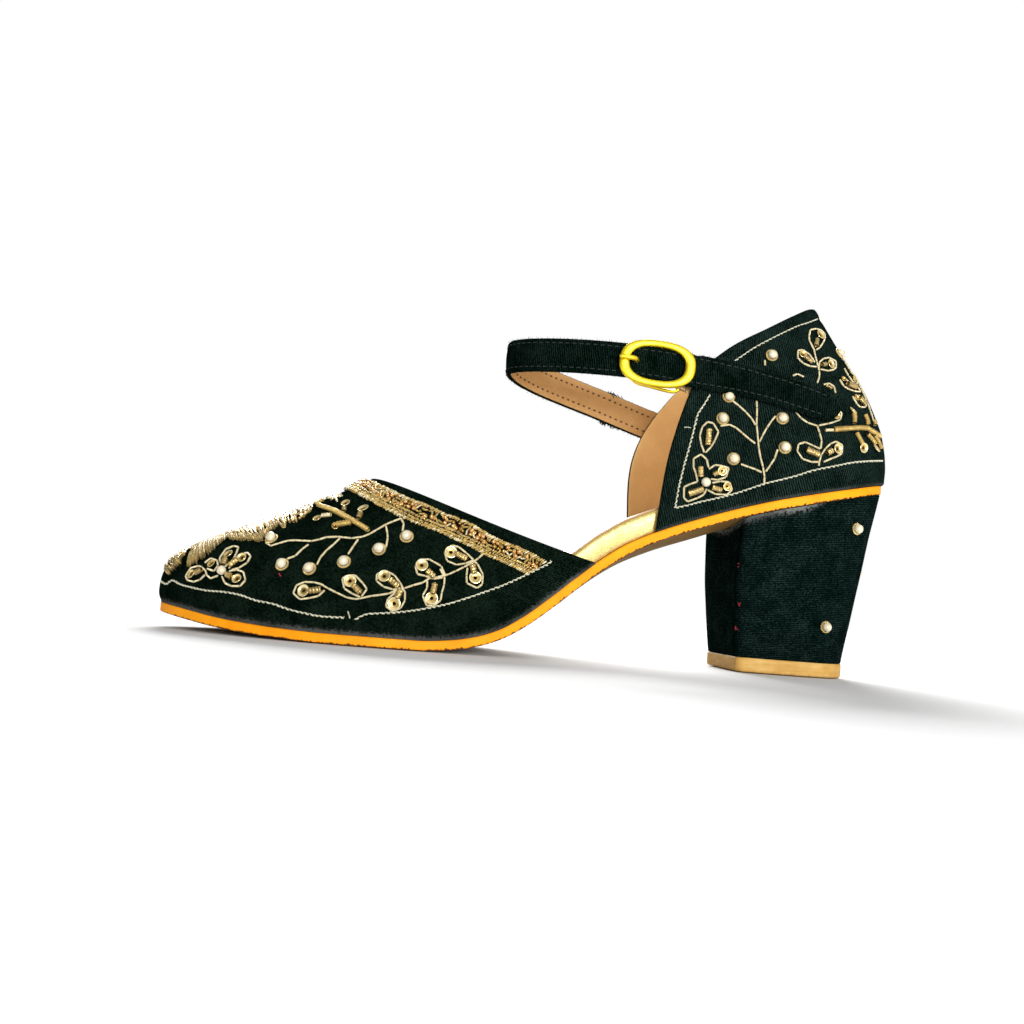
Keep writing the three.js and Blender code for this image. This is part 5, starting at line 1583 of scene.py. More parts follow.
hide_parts("elastic_loop")

# ------------------------------------------------------------------ embroidery
bags = {k: Bag() for k in ("cord", "stitch", "purl", "satin", "sequin", "bugle", "amber", "pearl", "ring", "red", "fuzz")}
MM_PX = 0.335  # a picture unit on the shoe, for sizes


def chart(ox, oy, s, pts):
    return [(ox + x / s, oy + y / s) for x, y in pts]


def dense_path(pts, step=1.1, closed=False):
    p = catmull(pts, 8, closed)
    if closed:
        p = np.concatenate([p, p[:1]])
    run = np.concatenate([[0], np.cumsum(np.linalg.norm(np.diff(p, axis=0), axis=1))])
    n = max(3, int(run[-1] / step))
    s = np.linspace(0, run[-1], n + 1)
    return np.stack([np.interp(s, run, p[:, 0]), np.interp(s, run, p[:, 1])], -1)


def hidden_by_strap(P):
    """True for points on the inner side that the sewn strap covers."""
    if P[:, 1].mean() < 0:
        return False
    d = np.linalg.norm(P[:, None] - SP[:60, 5][None], axis=-1).min(1)
    return bool((d < 6.6).any())


def both(surf, ab):
    yield ab
    m = surf.mirror(ab)
    P, _ = surf.at(m)
    if not hidden_by_strap(P):
        yield m


def wander(n, amount, seed):
    r = np.random.default_rng(seed)
    k = r.normal(0, amount, n)
    return np.convolve(np.pad(k, 2, mode="edge"), np.ones(5) / 5, "valid")


_seed = [1000]


def rod(bag, A, B, N, r, sides=7, waist=0.0):
    """A straight cut length of purl from A to B."""
    k = np.array([0.0, 0.10, 0.5, 0.90, 1.0])
    P = A + (B - A) * k[:, None]
    rr = r * np.array([0.80, 1.0, 1.0 - waist, 1.0, 0.80])
    tube(bags[bag], P, np.broadcast_to(N, P.shape), rr, sides=sides)


def cord_on(surf, pts, radius=0.33, bag="cord", closed=False, cut=2.7, lift=0.8):
    """A line of straight cut lengths laid end to end, as couched purl looks."""
    p = dense_path(pts, 0.6, closed)
    ab = surf.casts(p)
    P0, _ = surf.at(ab)
    run = np.concatenate([[0], np.cumsum(np.linalg.norm(np.diff(P0, axis=0), axis=1))])
    n = max(1, int(round(run[-1] / cut)))
    _seed[0] += 1
    r_ = np.random.default_rng(_seed[0])
    s = np.linspace(0, run[-1], n + 1)
    s[1:-1] += r_.normal(0, 0.12, max(0, n - 1)) * cut
    s = np.sort(s)
    knots = np.stack([np.interp(s, run, ab[:, c]) for c in (0, 1)], -1)
    for g in both(surf, knots):
        P, N = surf.at(g, radius * lift + 0.06)
        P = P + N * r_.uniform(-0.05, 0.10, len(P))[:, None]
        for i in range(len(P) - 1):
            d = P[i + 1] - P[i]
            l = np.linalg.norm(d)
            if l < 0.3:
                continue
            g0 = d / l * 0.05
            rod(bag, P[i] + g0, P[i + 1] - g0, unit(N[i] + N[i + 1]), radius * r_.uniform(0.93, 1.06))


def sequin_on(surf, c, r_mm, tilt=0.0):
    ab = surf.casts([c])
    for g in both(surf, ab):
        _seed[0] += 1
        rr = np.random.default_rng(_seed[0])
        P, N = surf.at(g, 0.15)
        ax = unit(N[0] + rr.normal(0, 0.10 + tilt, 3))
        hole = 0.25 * r_mm
        rows = [
            (hole, 0.10), (hole * 1.25, 0.20), (r_mm * 0.45, 0.10), (r_mm * 0.66, 0.24), (r_mm * 0.86, 0.56),
            (r_mm, 0.66), (r_mm * 1.04, 0.52), (r_mm * 0.9, 0.26), (r_mm * 0.6, -0.02), (hole * 1.1, -0.06),
        ]
        lathe(bags["sequin"], P[0] + ax * 0.12, ax, rows, seg=20, closed=True)


def bugle_on(surf, a, b, r_mm=0.55, bag="bugle", lift=0.9):
    p = np.linspace(a, b, 7)
    ab = surf.casts(p)
    for g in both(surf, ab):
        P, N = surf.at(g, r_mm * lift)
        rings = max(3, int(round(np.linalg.norm(P[-1] - P[0]) / 0.85)))
        k = np.linspace(0, 1, rings * 4 + 1)
        f = lambda A: np.stack([np.interp(k, np.linspace(0, 1, 7), A[:, c]) for c in range(3)], -1)
        r = r_mm * (0.80 + 0.20 * np.abs(np.sin(k * math.pi * rings)))
        tube(bags[bag], f(P), unit(f(N)), r, sides=9)


def pearl_on(surf, c, r_mm=1.55, ring=True, both_sides=True):
    ab = surf.casts([c])
    for g in both(surf, ab) if both_sides else [ab]:
        P, N = surf.at(g, 0)
        ball(bags["pearl"], P[0] + N[0] * (r_mm * 0.72 + 0.15), N[0], r_mm, seg=20, rings=12, squash=0.92)
        if ring:
            a = np.linspace(0, 2 * math.pi, 26, endpoint=False)
            e1 = unit(np.cross(N[0], [0.2, 0.1, 1.0]))
            e2 = np.cross(N[0], e1)
            rr = r_mm + 0.24
            Q = P[0] + N[0] * 0.42 + rr * (np.cos(a)[:, None] * e1 + np.sin(a)[:, None] * e2)
            tube(bags["ring"], Q, np.broadcast_to(N[0], Q.shape), 0.37, sides=7, closed=True)


def leaf(surf, outline, sequin=None, bar=None, r_seq=1.85, r_rod=1.05):
    cord_on(surf, outline)
    if bar:
        bugle_on(surf, bar[0], bar[1], r_rod)
    if sequin:
        sequin_on(surf, sequin, r_seq)


def stitches_on(surf, pts, length=1.3, gap=0.28, radius=0.25, bag="stitch", wide=0.20):
    """A chain of short slanted stitches over a finer thread."""
    p = dense_path(pts, 0.8)
    ab = surf.casts(p)
    r_ = np.random.default_rng(int(pts[0][0]))
    for g in both(surf, ab):
        P, N = surf.at(g, 0)
        run = np.concatenate([[0], np.cumsum(np.linalg.norm(np.diff(P, axis=0), axis=1))])
        B = np.cross(unit(np.gradient(P, axis=0)), N)
        f = lambda A, q: np.stack([np.interp(q, run, A[:, c]) for c in range(3)], -1)
        s = 0.0
        while s + length < run[-1]:
            ln = length * r_.uniform(0.8, 1.15)
            q = np.linspace(s, min(run[-1], s + ln), 5)
            u = np.linspace(-1, 1, 5)
            w = wide * r_.uniform(0.7, 1.3)
            X = f(P, q) + f(N, q) * (0.10 + 0.30 * (1 - u**2))[:, None] + f(B, q) * (u * w)[:, None]
            tube(bags[bag], X, f(N, q), radius * np.array([0.5, 0.95, 1.05, 0.95, 0.5]), sides=6)
            q = np.linspace(s + ln * 0.45, min(run[-1], s + ln * 1.2), 4)
            u = np.linspace(1, -1, 4)
            X = f(P, q) + f(N, q) * 0.12 + f(B, q) * (u * w * 1.3)[:, None]
            tube(bags[bag], X, f(N, q), radius * 0.55, sides=5)
            s += ln + gap * r_.uniform(0.6, 1.4)


def resample3(P, N, step):
    run = np.concatenate([[0], np.cumsum(np.linalg.norm(np.diff(P, axis=0), axis=1))])
    n = max(2, int(run[-1] / step))
    s = np.linspace(0, run[-1], n + 1)
    f = lambda A: np.stack([np.interp(s, run, A[:, c]) for c in range(3)], -1)
    return f(P), unit(f(N)), s


def coil_on(P, N, radius, pitch, wire, bag="purl", seg=9, sides=4, flat=0.8):
    """A real coil of wire lying along P."""
    run = np.concatenate([[0], np.cumsum(np.linalg.norm(np.diff(P, axis=0), axis=1))])
    turns = run[-1] / pitch
    n = int(turns * seg)
    if n < 4:
        return
    s = np.linspace(0, run[-1], n + 1)
    f = lambda A: np.stack([np.interp(s, run, A[:, c]) for c in range(3)], -1)
    X, Nn = f(P), unit(f(N))
    T = unit(np.gradient(X, axis=0))
    B = unit(np.cross(T, Nn))
    a = 2 * math.pi * s / pitch
    C = X + radius * (np.cos(a)[:, None] * B + flat * np.sin(a)[:, None] * Nn)
    out = unit(np.cos(a)[:, None] * B + np.sin(a)[:, None] * Nn)
    tube(bags[bag], C, out, wire, sides=sides)


# --- vamp: charts drawn in picture units
c17 = lambda p: chart(150, 490, 8.711, p)
c18 = lambda p: chart(300, 470, 8.711, p)
c19 = lambda p: chart(430, 480, 9.2235, p)
c20 = lambda p: chart(665, 300, 6.533, p)
c21 = lambda p: chart(295, 575, 8.711, p)
c22 = lambda p: chart(665, 420, 12.544, p)
c23 = lambda p: chart(835, 330, 11.2, p)
c24 = lambda p: chart(790, 395, 15.68, p)
one = lambda f, x, y: f([(x, y)])[0]

stitches_on(vamp, [(161.5, 581.5), (167, 584), (173, 580.5), (180, 584), (188, 586.5), (206, 590.5), (223, 592), (240, 595), (256, 600.5), (273, 604), (289, 609.5), (306, 613.6), (322, 616.5), (346, 617.8)])
stitches_on(vamp, [(355, 620), (362, 616), (369, 614), (385, 613.2), (402, 612), (420, 609.6), (446, 604.5), (466, 598.5), (485, 592), (504, 585), (524, 576), (538, 569), (549, 563.5), (551.5, 559)])
cord_on(vamp, [(347.8, 611.2), (349.0, 614.6), (350.1, 618.6)], radius=0.2, bag="stitch", cut=1.3)
# pearl vine
cord_on(vamp, c18([(885, 425), (860, 430), (810, 455), (745, 480), (700, 505), (640, 545), (580, 575), (520, 595), (440, 600), (370, 590), (290, 585), (240, 590), (170, 610), (105, 625), (0, 620)]) + c17([(1230, 445), (1160, 460), (1110, 478), (1050, 492), (1012, 465)]))
for f, pts, c in (
    (c17, [(1385, 480), (1330, 520), (1300, 550), (1245, 600), (1200, 605)], (1155, 655)),
    (c18, [(350, 600), (300, 650), (240, 700), (160, 790), (150, 830)], (85, 865)),
    (c18, [(510, 610), (480, 650), (430, 720), (420, 740)], (385, 805)),
    (c18, [(750, 490), (760, 540), (765, 600), (750, 680)], (690, 695)),
    (c18, [(880, 430), (905, 465), (895, 500), (893, 540)], (930, 585)),
):
    cord_on(vamp, f(pts))
    pearl_on(vamp, one(f, *c))
pearl_on(vamp, one(c17, 1062, 432))
# leaf vine
cord_on(vamp, c21([(232, 86), (290, 120), (360, 155), (430, 190), (500, 210), (560, 208), (620, 190), (700, 180), (780, 170), (850, 155), (900, 130), (960, 115), (1020, 95), (1080, 75), (1140, 60)]) + c19([(0, 905), (60, 900), (150, 880), (270, 825), (340, 790), (430, 735), (500, 672)]))
leaf(vamp, c21([(250, 90), (190, 70), (120, 62), (55, 70), (10, 100), (-12, 150), (0, 190), (50, 215), (110, 205), (180, 195), (230, 170), (262, 135)]), one(c21, 80, 140), c21([(130, 145), (235, 132)]))
leaf(vamp, c21([(570, 195), (500, 165), (440, 130), (405, 80), (415, 35), (450, 10), (500, 0), (545, 15), (580, 45), (600, 90), (635, 140), (620, 170), (580, 190)]), one(c21, 480, 55), c21([(510, 95), (575, 160)]))
leaf(vamp, c18([(900, 1040), (850, 950), (790, 895), (730, 880), (680, 900), (660, 940), (680, 990), (730, 1020), (820, 1045), (880, 1045)]), one(c18, 735, 930), c18([(780, 958), (860, 1020)]))
leaf(vamp, c21([(890, 110), (935, 105), (960, 150), (965, 190), (950, 240), (920, 290), (860, 315), (815, 300), (790, 270), (785, 240), (800, 215), (840, 190), (880, 150)]), one(c21, 865, 250), c21([(885, 205), (920, 135)]))
leaf(vamp, c18([(1262, 915), (1240, 850), (1160, 800), (1090, 770), (1030, 790), (1005, 840), (1010, 890), (1040, 925), (1090, 925), (1150, 950), (1240, 940)]), one(c18, 1060, 835), c18([(1105, 880), (1165, 935)]))
leaf(vamp, c21([(1150, 50), (1165, 90), (1130, 140), (1105, 210), (1140, 265), (1200, 270), (1260, 240), (1270, 180), (1290, 110), (1305, 50), (1290, -20), (1262, -50)]), one(c21, 1190, 205), c21([(1215, 80), (1197, 165)]))
leaf(vamp, c19([(400, 740), (310, 655), (260, 620), (210, 605), (160, 625), (130, 680), (140, 725), (185, 775), (280, 785), (340, 765), (395, 745)]), one(c19, 190, 670), c19([(235, 685), (335, 735)]))
leaf(vamp, c19([(380, 740), (440, 780), (470, 830), (490, 890), (490, 940), (460, 985), (420, 1000), (360, 990), (330, 930), (335, 880), (345, 810)]), one(c19, 415, 905), c19([(385, 785), (403, 865)]))
# toe flower
leaf(vamp, c17([(640, 685), (615, 620), (620, 560), (680, 515), (770, 490), (755, 560), (710, 640), (655, 675)]), one(c17, 690, 570), c17([(668, 610), (650, 665)]), 1.55)
leaf(vamp, c17([(690, 690), (740, 615), (800, 560), (860, 555), (885, 600), (850, 640), (790, 680), (720, 700)]), one(c17, 805, 597), c17([(705, 670), (770, 620)]), 1.5)
leaf(vamp, c17([(695, 712), (790, 700), (830, 740), (832, 800), (770, 850), (700, 835), (640, 800), (632, 755)]), one(c17, 762, 780), c17([(680, 745), (725, 765)]), 1.5)
leaf(vamp, c17([(490, 705), (430, 665), (350, 690), (320, 740), (335, 790), (390, 802), (450, 780), (488, 742)]), one(c17, 372, 738), c17([(410, 732), (468, 705)]), 1.4)
cord_on(vamp, c17([(490, 705), (505, 755), (540, 775), (600, 748)]))
leaf(vamp, c17([(482, 640), (510, 605), (570, 605), (600, 640), (590, 690), (550, 715), (505, 690)]), one(c17, 542, 652), None, 1.3)
pearl_on(vamp, one(c17, 640, 715), 1.45, ring=False)
# twig under the throat
bugle_on(vamp, *c18([(165, 322), (300, 368)]), r_mm=0.85, bag="purl")
bugle_on(vamp, *c18([(300, 368), (410, 425)]), r_mm=0.95, bag="purl")
bugle_on(vamp, *c18([(410, 425), (500, 475)]), r_mm=0.95, bag="purl")
bugle_on(vamp, *c18([(500, 475), (600, 535)]), r_mm=0.9, bag="purl")
bugle_on(vamp, *c18([(392, 340), (388, 375)]), r_mm=0.8)
bugle_on(vamp, *c18([(535, 385), (515, 435)]), r_mm=0.95)
bugle_on(vamp, *c18([(195, 410), (275, 402)]), r_mm=0.7, bag="cord")
bugle_on(vamp, *c18([(325, 492), (450, 470)]), r_mm=1.0, bag="purl")
sequin_on(vamp, one(c18, 402, 302), 1.5)
sequin_on(vamp, one(c18, 556, 347), 1.75)
sequin_on(vamp, one(c18, 155, 435), 1.35)
sequin_on(vamp, one(c18, 305, 495), 1.0, 0.3)

# --- dense gold work: short strands of purl laid side by side between two charted edges
def strand(bag, P, N, radius, arch):
    u = np.linspace(-1, 1, len(P))
    X = P + N * (0.10 + arch * (1 - u**4))[:, None]
    tube(bags[bag], X, N, radius * (1 - 0.5 * np.abs(u) ** 5), sides=6)


def strands(surf, top, low, step, radius, names, seed, jitter=0.25, over=0.0, arch=0.35, split=1):
    """Strands from the line top to the line low; split breaks each into shorter cut lengths."""
    r_ = np.random.default_rng(seed)
    A, B = surf.casts(dense_path(top, 0.5)), surf.casts(dense_path(low, 0.5))
    PA, PB = surf.at(A)[0], surf.at(B)[0]
    length = max(
        np.linalg.norm(np.diff(PA, axis=0), axis=1).sum(),
        np.linalg.norm(np.diff(PB, axis=0), axis=1).sum(),
    )
    n = max(2, int(length / step))
    for k in range(n + 1):
        ua, ub = np.clip(k / n + r_.normal(0, jitter / n, 2), 0, 1)
        a = np.array([np.interp(ua * (len(A) - 1), np.arange(len(A)), A[:, c]) for c in (0, 1)])
        b = np.array([np.interp(ub * (len(B) - 1), np.arange(len(B)), B[:, c]) for c in (0, 1)])
        cuts = np.linspace(-over * r_.uniform(0.2, 1), 1 + r_.uniform(-0.08, 0.08), split + 1)
        cuts[1:-1] += r_.uniform(-0.12, 0.12, split - 1)
        pick = r_.integers(0, len(names), split)
        rise = r_.uniform(0, 0.22, split)
        for g0, g1 in zip(both(surf, a[None]), both(surf, b[None])):
            for c in range(split):
                t = np.linspace(cuts[c] + 0.01, cuts[c + 1] - 0.01, 6)[:, None]
                P, N = surf.at(g0 + (g1 - g0) * t, 0)
                strand(names[pick[c]], P + N * rise[c], N, radius, arch)


c28 = lambda p: chart(150, 480, 6.272, p)
# leaf at the toe
strands(vamp, c28([(100, 560), (112, 528), (150, 490), (190, 462), (230, 442)]), c28([(118, 590), (140, 578), (180, 540), (205, 500), (222, 468)]), 0.85, 0.42, ("purl", "satin", "bugle"), 31, 0.7, 0.1, split=2)
# feather behind it
strands(vamp, c28([(262, 448), (300, 418), (350, 384), (420, 362), (488, 348)]), c28([(236, 548), (290, 524), (332, 488), (388, 443), (482, 366)]), 0.84, 0.36, ("satin",), 32, 0.2, 0.0, arch=0.2)
# scalloped border and the beads above it
strands(vamp, c28([(488, 342), (560, 336), (640, 336), (690, 326), (735, 302), (780, 270), (802, 260)]), c28([(508, 377), (560, 381), (640, 381), (695, 386), (735, 345), (785, 304), (812, 284)]), 0.88, 0.37, ("satin", "satin", "purl"), 33, 0.15, 0.0, arch=0.2)
strands(vamp, c28([(476, 338), (540, 312), (600, 292), (660, 274), (720, 258), (780, 243), (835, 232)]), c28([(505, 342), (560, 336), (640, 334), (690, 324), (730, 300), (780, 268), (835, 252)]), 0.92, 0.42, ("purl", "bugle", "purl"), 34, 0.7, 0.1, arch=0.18)
strands(vamp, c28([(835, 230), (890, 213), (950, 195), (1025, 172)]), c28([(845, 292), (872, 266), (935, 262), (1008, 196)]), 0.88, 0.38, ("purl", "bugle", "satin"), 35, 0.8, 0.05, arch=0.18, split=2)
for a, b in (((900, 232), (1012, 182)), ((935, 250), (1000, 200)), ((800, 262), (838, 302)), ((826, 250), (848, 300))):
    bugle_on(vamp, *c28([a, b]), r_mm=0.42, bag="satin")
bugle_on(vamp, *c28([(1036, 158), (1092, 132)]), r_mm=0.62, bag="purl")
for a, b in (((1120, 120), (1206, 104)), ((1150, 96), (1176, 136)), ((1140, 128), (1190, 92)), ((1108, 112), (1150, 112))):
    bugle_on(vamp, *c28([a, b]), r_mm=0.40, bag="cord")

def crest_fill(line, step, radius, names, seed, lean=0.0, piece=2.6):
    """Strands from a charted upper edge over to the crest line, on both sides of it."""
    r_ = np.random.default_rng(seed)
    A = vamp.casts(dense_path(line, 0.5))
    PA = vamp.at(A)[0]
    length = np.linalg.norm(np.diff(PA, axis=0), axis=1).sum()
    n, mid = max(2, int(length / step)), (vamp.n - 1) / 2
    for k in range(n + 1):
        u = np.clip(k / n + r_.normal(0, 0.25 / n), 0, 1) * (len(A) - 1)
        a = np.array([np.interp(u, np.arange(len(A)), A[:, c]) for c in (0, 1)])
        b = np.array([mid - 0.02, a[1] + lean])
        wide = float(np.linalg.norm(np.diff(vamp.at(np.array([a, b]))[0], axis=0)))
        if wide < 0.7:
            continue
        split = max(1, int(round(wide / piece)))
        cuts = np.linspace(0.02, 1, split + 1)
        pick, rise = r_.integers(0, len(names), split), r_.uniform(0, 0.07, split)
        for g0, g1 in zip(both(vamp, a[None]), both(vamp, b[None])):
            for c in range(split):
                t = np.linspace(cuts[c] + 0.01, cuts[c + 1] - 0.01, 6)[:, None]
                P, N = vamp.at(g0 + (g1 - g0) * t, 0)
                strand(names[pick[c]], P + N * rise[c], N, radius, 0.10)


crest_fill(c28([(100, 560), (112, 528), (150, 490), (190, 462), (230, 442)]), 0.85, 0.42, ("purl", "satin", "bugle"), 61)
crest_fill(c28([(262, 448), (300, 418), (350, 384), (420, 362), (488, 348)]), 0.84, 0.33, ("satin",), 62)
crest_fill(c28([(476, 338), (540, 312), (600, 292), (660, 274), (720, 258), (780, 243), (835, 232)]), 0.78, 0.40, ("purl", "bugle", "satin"), 63)
crest_fill(c28([(835, 230), (890, 213), (950, 195), (1025, 172)]), 0.76, 0.36, ("purl", "bugle", "satin"), 64)

# --- bead band along the throat: it runs from the outer waist over the crest to the inner waist
up_px = c18([(590, 100), (640, 112), (730, 155), (850, 210), (960, 260), (1080, 300), (1200, 350), (1300, 395)]) + c19([(100, 300), (200, 340), (320, 375), (430, 432), (540, 502), (640, 552), (740, 592), (870, 645), (980, 702), (1080, 765)])
lo_px = c18([(440, 182), (520, 230), (620, 280), (730, 340), (820, 390), (970, 462), (1080, 500), (1200, 545), (1310, 580)]) + c19([(130, 500), (230, 560), (330, 600), (450, 668), (540, 710), (640, 750), (760, 800), (885, 872)])
UPAB, LOAB = vamp.casts(dense_path(up_px, 2.0)), vamp.casts(dense_path(lo_px, 2.0))


def settle(line):
    """The charted edge as height over position, smoothed and carried level over the crest."""
    o = np.argsort(line[:, 0])
    x, y = line[o, 0], line[o, 1]
    g = np.arange(0, (vamp.n - 1) / 2 + 0.01, 0.5)
    v = np.interp(g, x, y)
    k = np.hanning(15)
    k /= k.sum()
    return g, np.convolve(np.pad(v, 7, mode="edge"), k, "valid")


_gu, _vu = settle(UPAB)
_gl, _vl = settle(LOAB)
band_from = max(UPAB[:, 0].min(), LOAB[:, 0].min())


def band_at(a, w):
    f = np.minimum(a, vamp.n - 1 - a)
    bu, bl = np.interp(f, _gu, _vu), np.interp(f, _gl, _vl)
    return np.stack([a, bu + (bl - bu) * w], -1)


def band_row(w):
    """Even steps along the band at share w from its upper edge, in millimetres."""
    a = np.linspace(band_from, vamp.n - 1 - band_from, 700)
    P, _ = vamp.at(band_at(a, w))
    run = np.concatenate([[0], np.cumsum(np.linalg.norm(np.diff(P, axis=0), axis=1))])
    return a, run


def width_at(a):
    P, _ = vamp.at(np.concatenate([band_at(a, 0.0), band_at(a, 1.0)]))
    return float(np.linalg.norm(P[0] - P[1]))


for w, long_, pitch, rad, names, seed in (
    (0.07, 1.30, 0.74, 0.32, ("cord", "purl", "satin"), 41),
    (0.64, 1.05, 0.76, 0.32, ("satin", "purl", "bugle"), 42),
    (0.80, 0.95, 0.74, 0.31, ("purl", "satin"), 44),
    (0.94, 1.20, 0.72, 0.31, ("cord", "purl", "satin"), 43),
):
    r_ = np.random.default_rng(seed)
    a_, run = band_row(w)
    at = 0.3
    while at < run[-1] - 0.3:
        a = np.interp(at, run, a_)
        wd = width_at(np.array([a]))
        half = long_ / wd / 2 * r_.uniform(0.85, 1.2)
        mid = w + r_.normal(0, 0.012)
        g = band_at(np.full(5, a) + np.linspace(-0.12, 0.12, 5) * r_.normal(0, 1.0), mid + np.linspace(-half, half, 5))
        P, N = vamp.at(g, 0)
        strand(names[r_.integers(0, len(names))], P + N * (0.25 + r_.uniform(-0.10, 0.18)), N, rad * r_.uniform(0.9, 1.15), 0.42)
        at += pitch * r_.uniform(0.85, 1.2)
for w, seed, lo, hi in ((0.25, 11, 0.62, 0.85), (0.45, 12, 0.66, 0.9)):
    r_ = np.random.default_rng(seed)
    a_, run = band_row(w)
    at = 0.5
    while at < run[-1] - 0.5:
        a = np.interp(at, run, a_)
        P, N = vamp.at(band_at(np.array([a, a + 0.3]), w + r_.normal(0, 0.03)), 0)
        T = unit(P[1] - P[0])
        c = P[0] + N[0] * (0.42 + r_.uniform(0, 0.35))
        kind = r_.uniform()
        size = r_.uniform(lo, hi)
        if kind < 0.36:
            ball(bags["amber"], c, unit(N[0] + r_.normal(0, 0.6, 3)), size, seg=8, rings=6, squash=0.8)
        elif kind < 0.62:
            ball(bags["sequin"], c, unit(N[0] + r_.normal(0, 0.6, 3)), size * 0.9, seg=8, rings=6, squash=0.8)
        else:
            # a crimped cut of purl lying any way
            dr = unit(T * r_.normal(0, 1) + np.cross(T, N[0]) * r_.normal(0, 1) + N[0] * r_.normal(0, 0.3))
            q = c + dr * np.linspace(-size * 1.15, size * 1.15, 5)[:, None]
            tube(bags[("satin", "purl", "cord", "purl")[r_.integers(0, 4)]], q, N[0], 0.34 * np.array([0.7, 1, 0.9, 1, 0.7]), sides=6)
        at += r_.uniform(1.0, 1.4)

# --- quarter
stitches_on(quarter, [(675, 508), (677, 497), (679, 486), (682, 474), (685, 462), (688.5, 450), (692, 437), (695, 425), (698, 414), (704.5, 404), (711, 393)])
stitches_on(quarter, [(675, 508), (687, 505.5), (700, 502), (718, 498), (737, 493), (764, 484), (780, 480), (796, 476), (808, 472), (820, 469), (836, 466), (851, 463), (866, 461.5), (882, 461)])
stitches_on(quarter, [(735, 361), (745, 354), (756, 347), (775, 337), (796, 327), (808, 323), (818, 319)], wide=0.14, radius=0.2)
leaf(quarter, c22([(405, 775), (395, 740), (375, 640), (350, 580), (347, 500), (400, 455), (480, 425), (510, 470), (535, 560), (542, 600)]), None, c22([(440, 590), (442, 715)]), 1.3, 1.0)
leaf(quarter, c22([(490, 410), (440, 280), (432, 200), (470, 80), (550, 20), (620, 60), (665, 130), (655, 190), (610, 280), (560, 360), (505, 412)]), None, c22([(548, 120), (530, 322)]), 1.5, 1.05)
leaf(quarter, c22([(545, 620), (600, 580), (690, 535), (720, 580), (790, 590), (802, 690), (700, 740), (600, 762), (572, 742)]), one(c22, 712, 640), c22([(600, 690), (665, 660)]), 1.45, 0.9)
leaf(quarter, c22([(590, 790), (640, 750), (690, 770), (780, 760), (830, 830), (835, 880), (770, 940), (690, 945), (600, 920), (532, 878)]), one(c22, 775, 835), c22([(585, 848), (705, 880)]), 1.3, 0.95)
leaf(quarter, c22([(402, 775), (330, 800), (240, 835), (215, 940), (280, 1025), (380, 990), (490, 930), (520, 862)]), None, c22([(285, 930), (470, 868)]), 1.2, 1.1)
pearl_on(quarter, one(c22, 505, 785), 1.5, ring=False)
cord_on(quarter, c20([(595, 655), (600, 740), (595, 800), (605, 900), (615, 1000), (640, 1100), (650, 1180), (646, 1205)]))
for f, pts, c in (
    (c22, [(950, 555), (1040, 590), (1130, 620), (1210, 660)], (855, 490)),
    (c22, [(1410, 370), (1380, 470), (1310, 580), (1260, 650)], (1500, 350)),
    (c22, [(690, 78), (790, 60), (850, 70), (900, 110), (980, 180), (1050, 240), (1130, 300)], (720, -14)),
    (c20, [(720, 760), (680, 810), (650, 860), (615, 930)], (765, 775)),
    (c20, [(425, 650), (460, 675), (500, 710), (560, 770), (590, 820)], (414, 632)),
    (c20, [(650, 395), (650, 432)], (695, 365)),
):
    cord_on(quarter, f(pts))
    pearl_on(quarter, one(f, *c), 1.5)
cord_on(quarter, [(684, 427.5), (687.5, 427.2), (691, 428)], radius=0.13, bag="stitch", cut=1.2)
# vine behind
leaf(quarter, c20([(970, 330), (940, 270), (940, 205), (975, 190), (1030, 210), (1040, 250), (1010, 310), (982, 330)]), one(c20, 1008, 232), c20([(985, 262), (978, 305)]), 1.6, 0.8)
leaf(quarter, c20([(985, 440), (920, 430), (870, 390), (855, 340), (900, 330), (940, 360), (975, 412)]), one(c20, 895, 362), c20([(915, 380), (955, 415)]), 1.3, 0.8)
leaf(quarter, c20([(1000, 450), (1010, 400), (1060, 380), (1110, 400), (1108, 450), (1055, 466), (1008, 455)]), one(c20, 1076, 422), c20([(1020, 430), (1045, 425)]), 1.5, 0.8)
cord_on(quarter, c20([(968, 325), (985, 400), (1000, 450), (1005, 500), (992, 545)]))
cord_on(quarter, c20([(832, 498), (870, 485), (905, 505)]))
cord_on(quarter, c20([(1030, 556), (1060, 545), (1100, 570), (1110, 610)]))
bugle_on(quarter, *c20([(1045, 560), (1085, 580)]), r_mm=0.5)
leaf(quarter, c24([(60, 245), (130, 335), (190, 390), (270, 440), (350, 470), (420, 490)]), None, None)
leaf(quarter, c24([(440, 485), (560, 462), (680, 430), (780, 390), (810, 320), (770, 262), (700, 215)]), one(c24, 705, 318), None, 1.35)
cord_on(quarter, c24([(420, 490), (440, 560), (470, 640), (490, 720), (495, 800), (468, 850)]))
leaf(quarter, c24([(468, 850), (400, 830), (330, 780), (260, 745), (160, 750), (95, 830), (130, 930), (180, 1000), (320, 1050), (440, 1052)]), None, c24([(250, 862), (440, 945)]), 1.2, 1.1)
leaf(quarter, c24([(450, 1060), (490, 920), (560, 830), (640, 760), (740, 730), (810, 790), (832, 880), (760, 950), (640, 1000), (520, 1052)]), one(c24, 730, 848), c24([(565, 920), (640, 880)]), 1.6)
cord_on(quarter, c24([(450, 1055), (445, 1115)]))
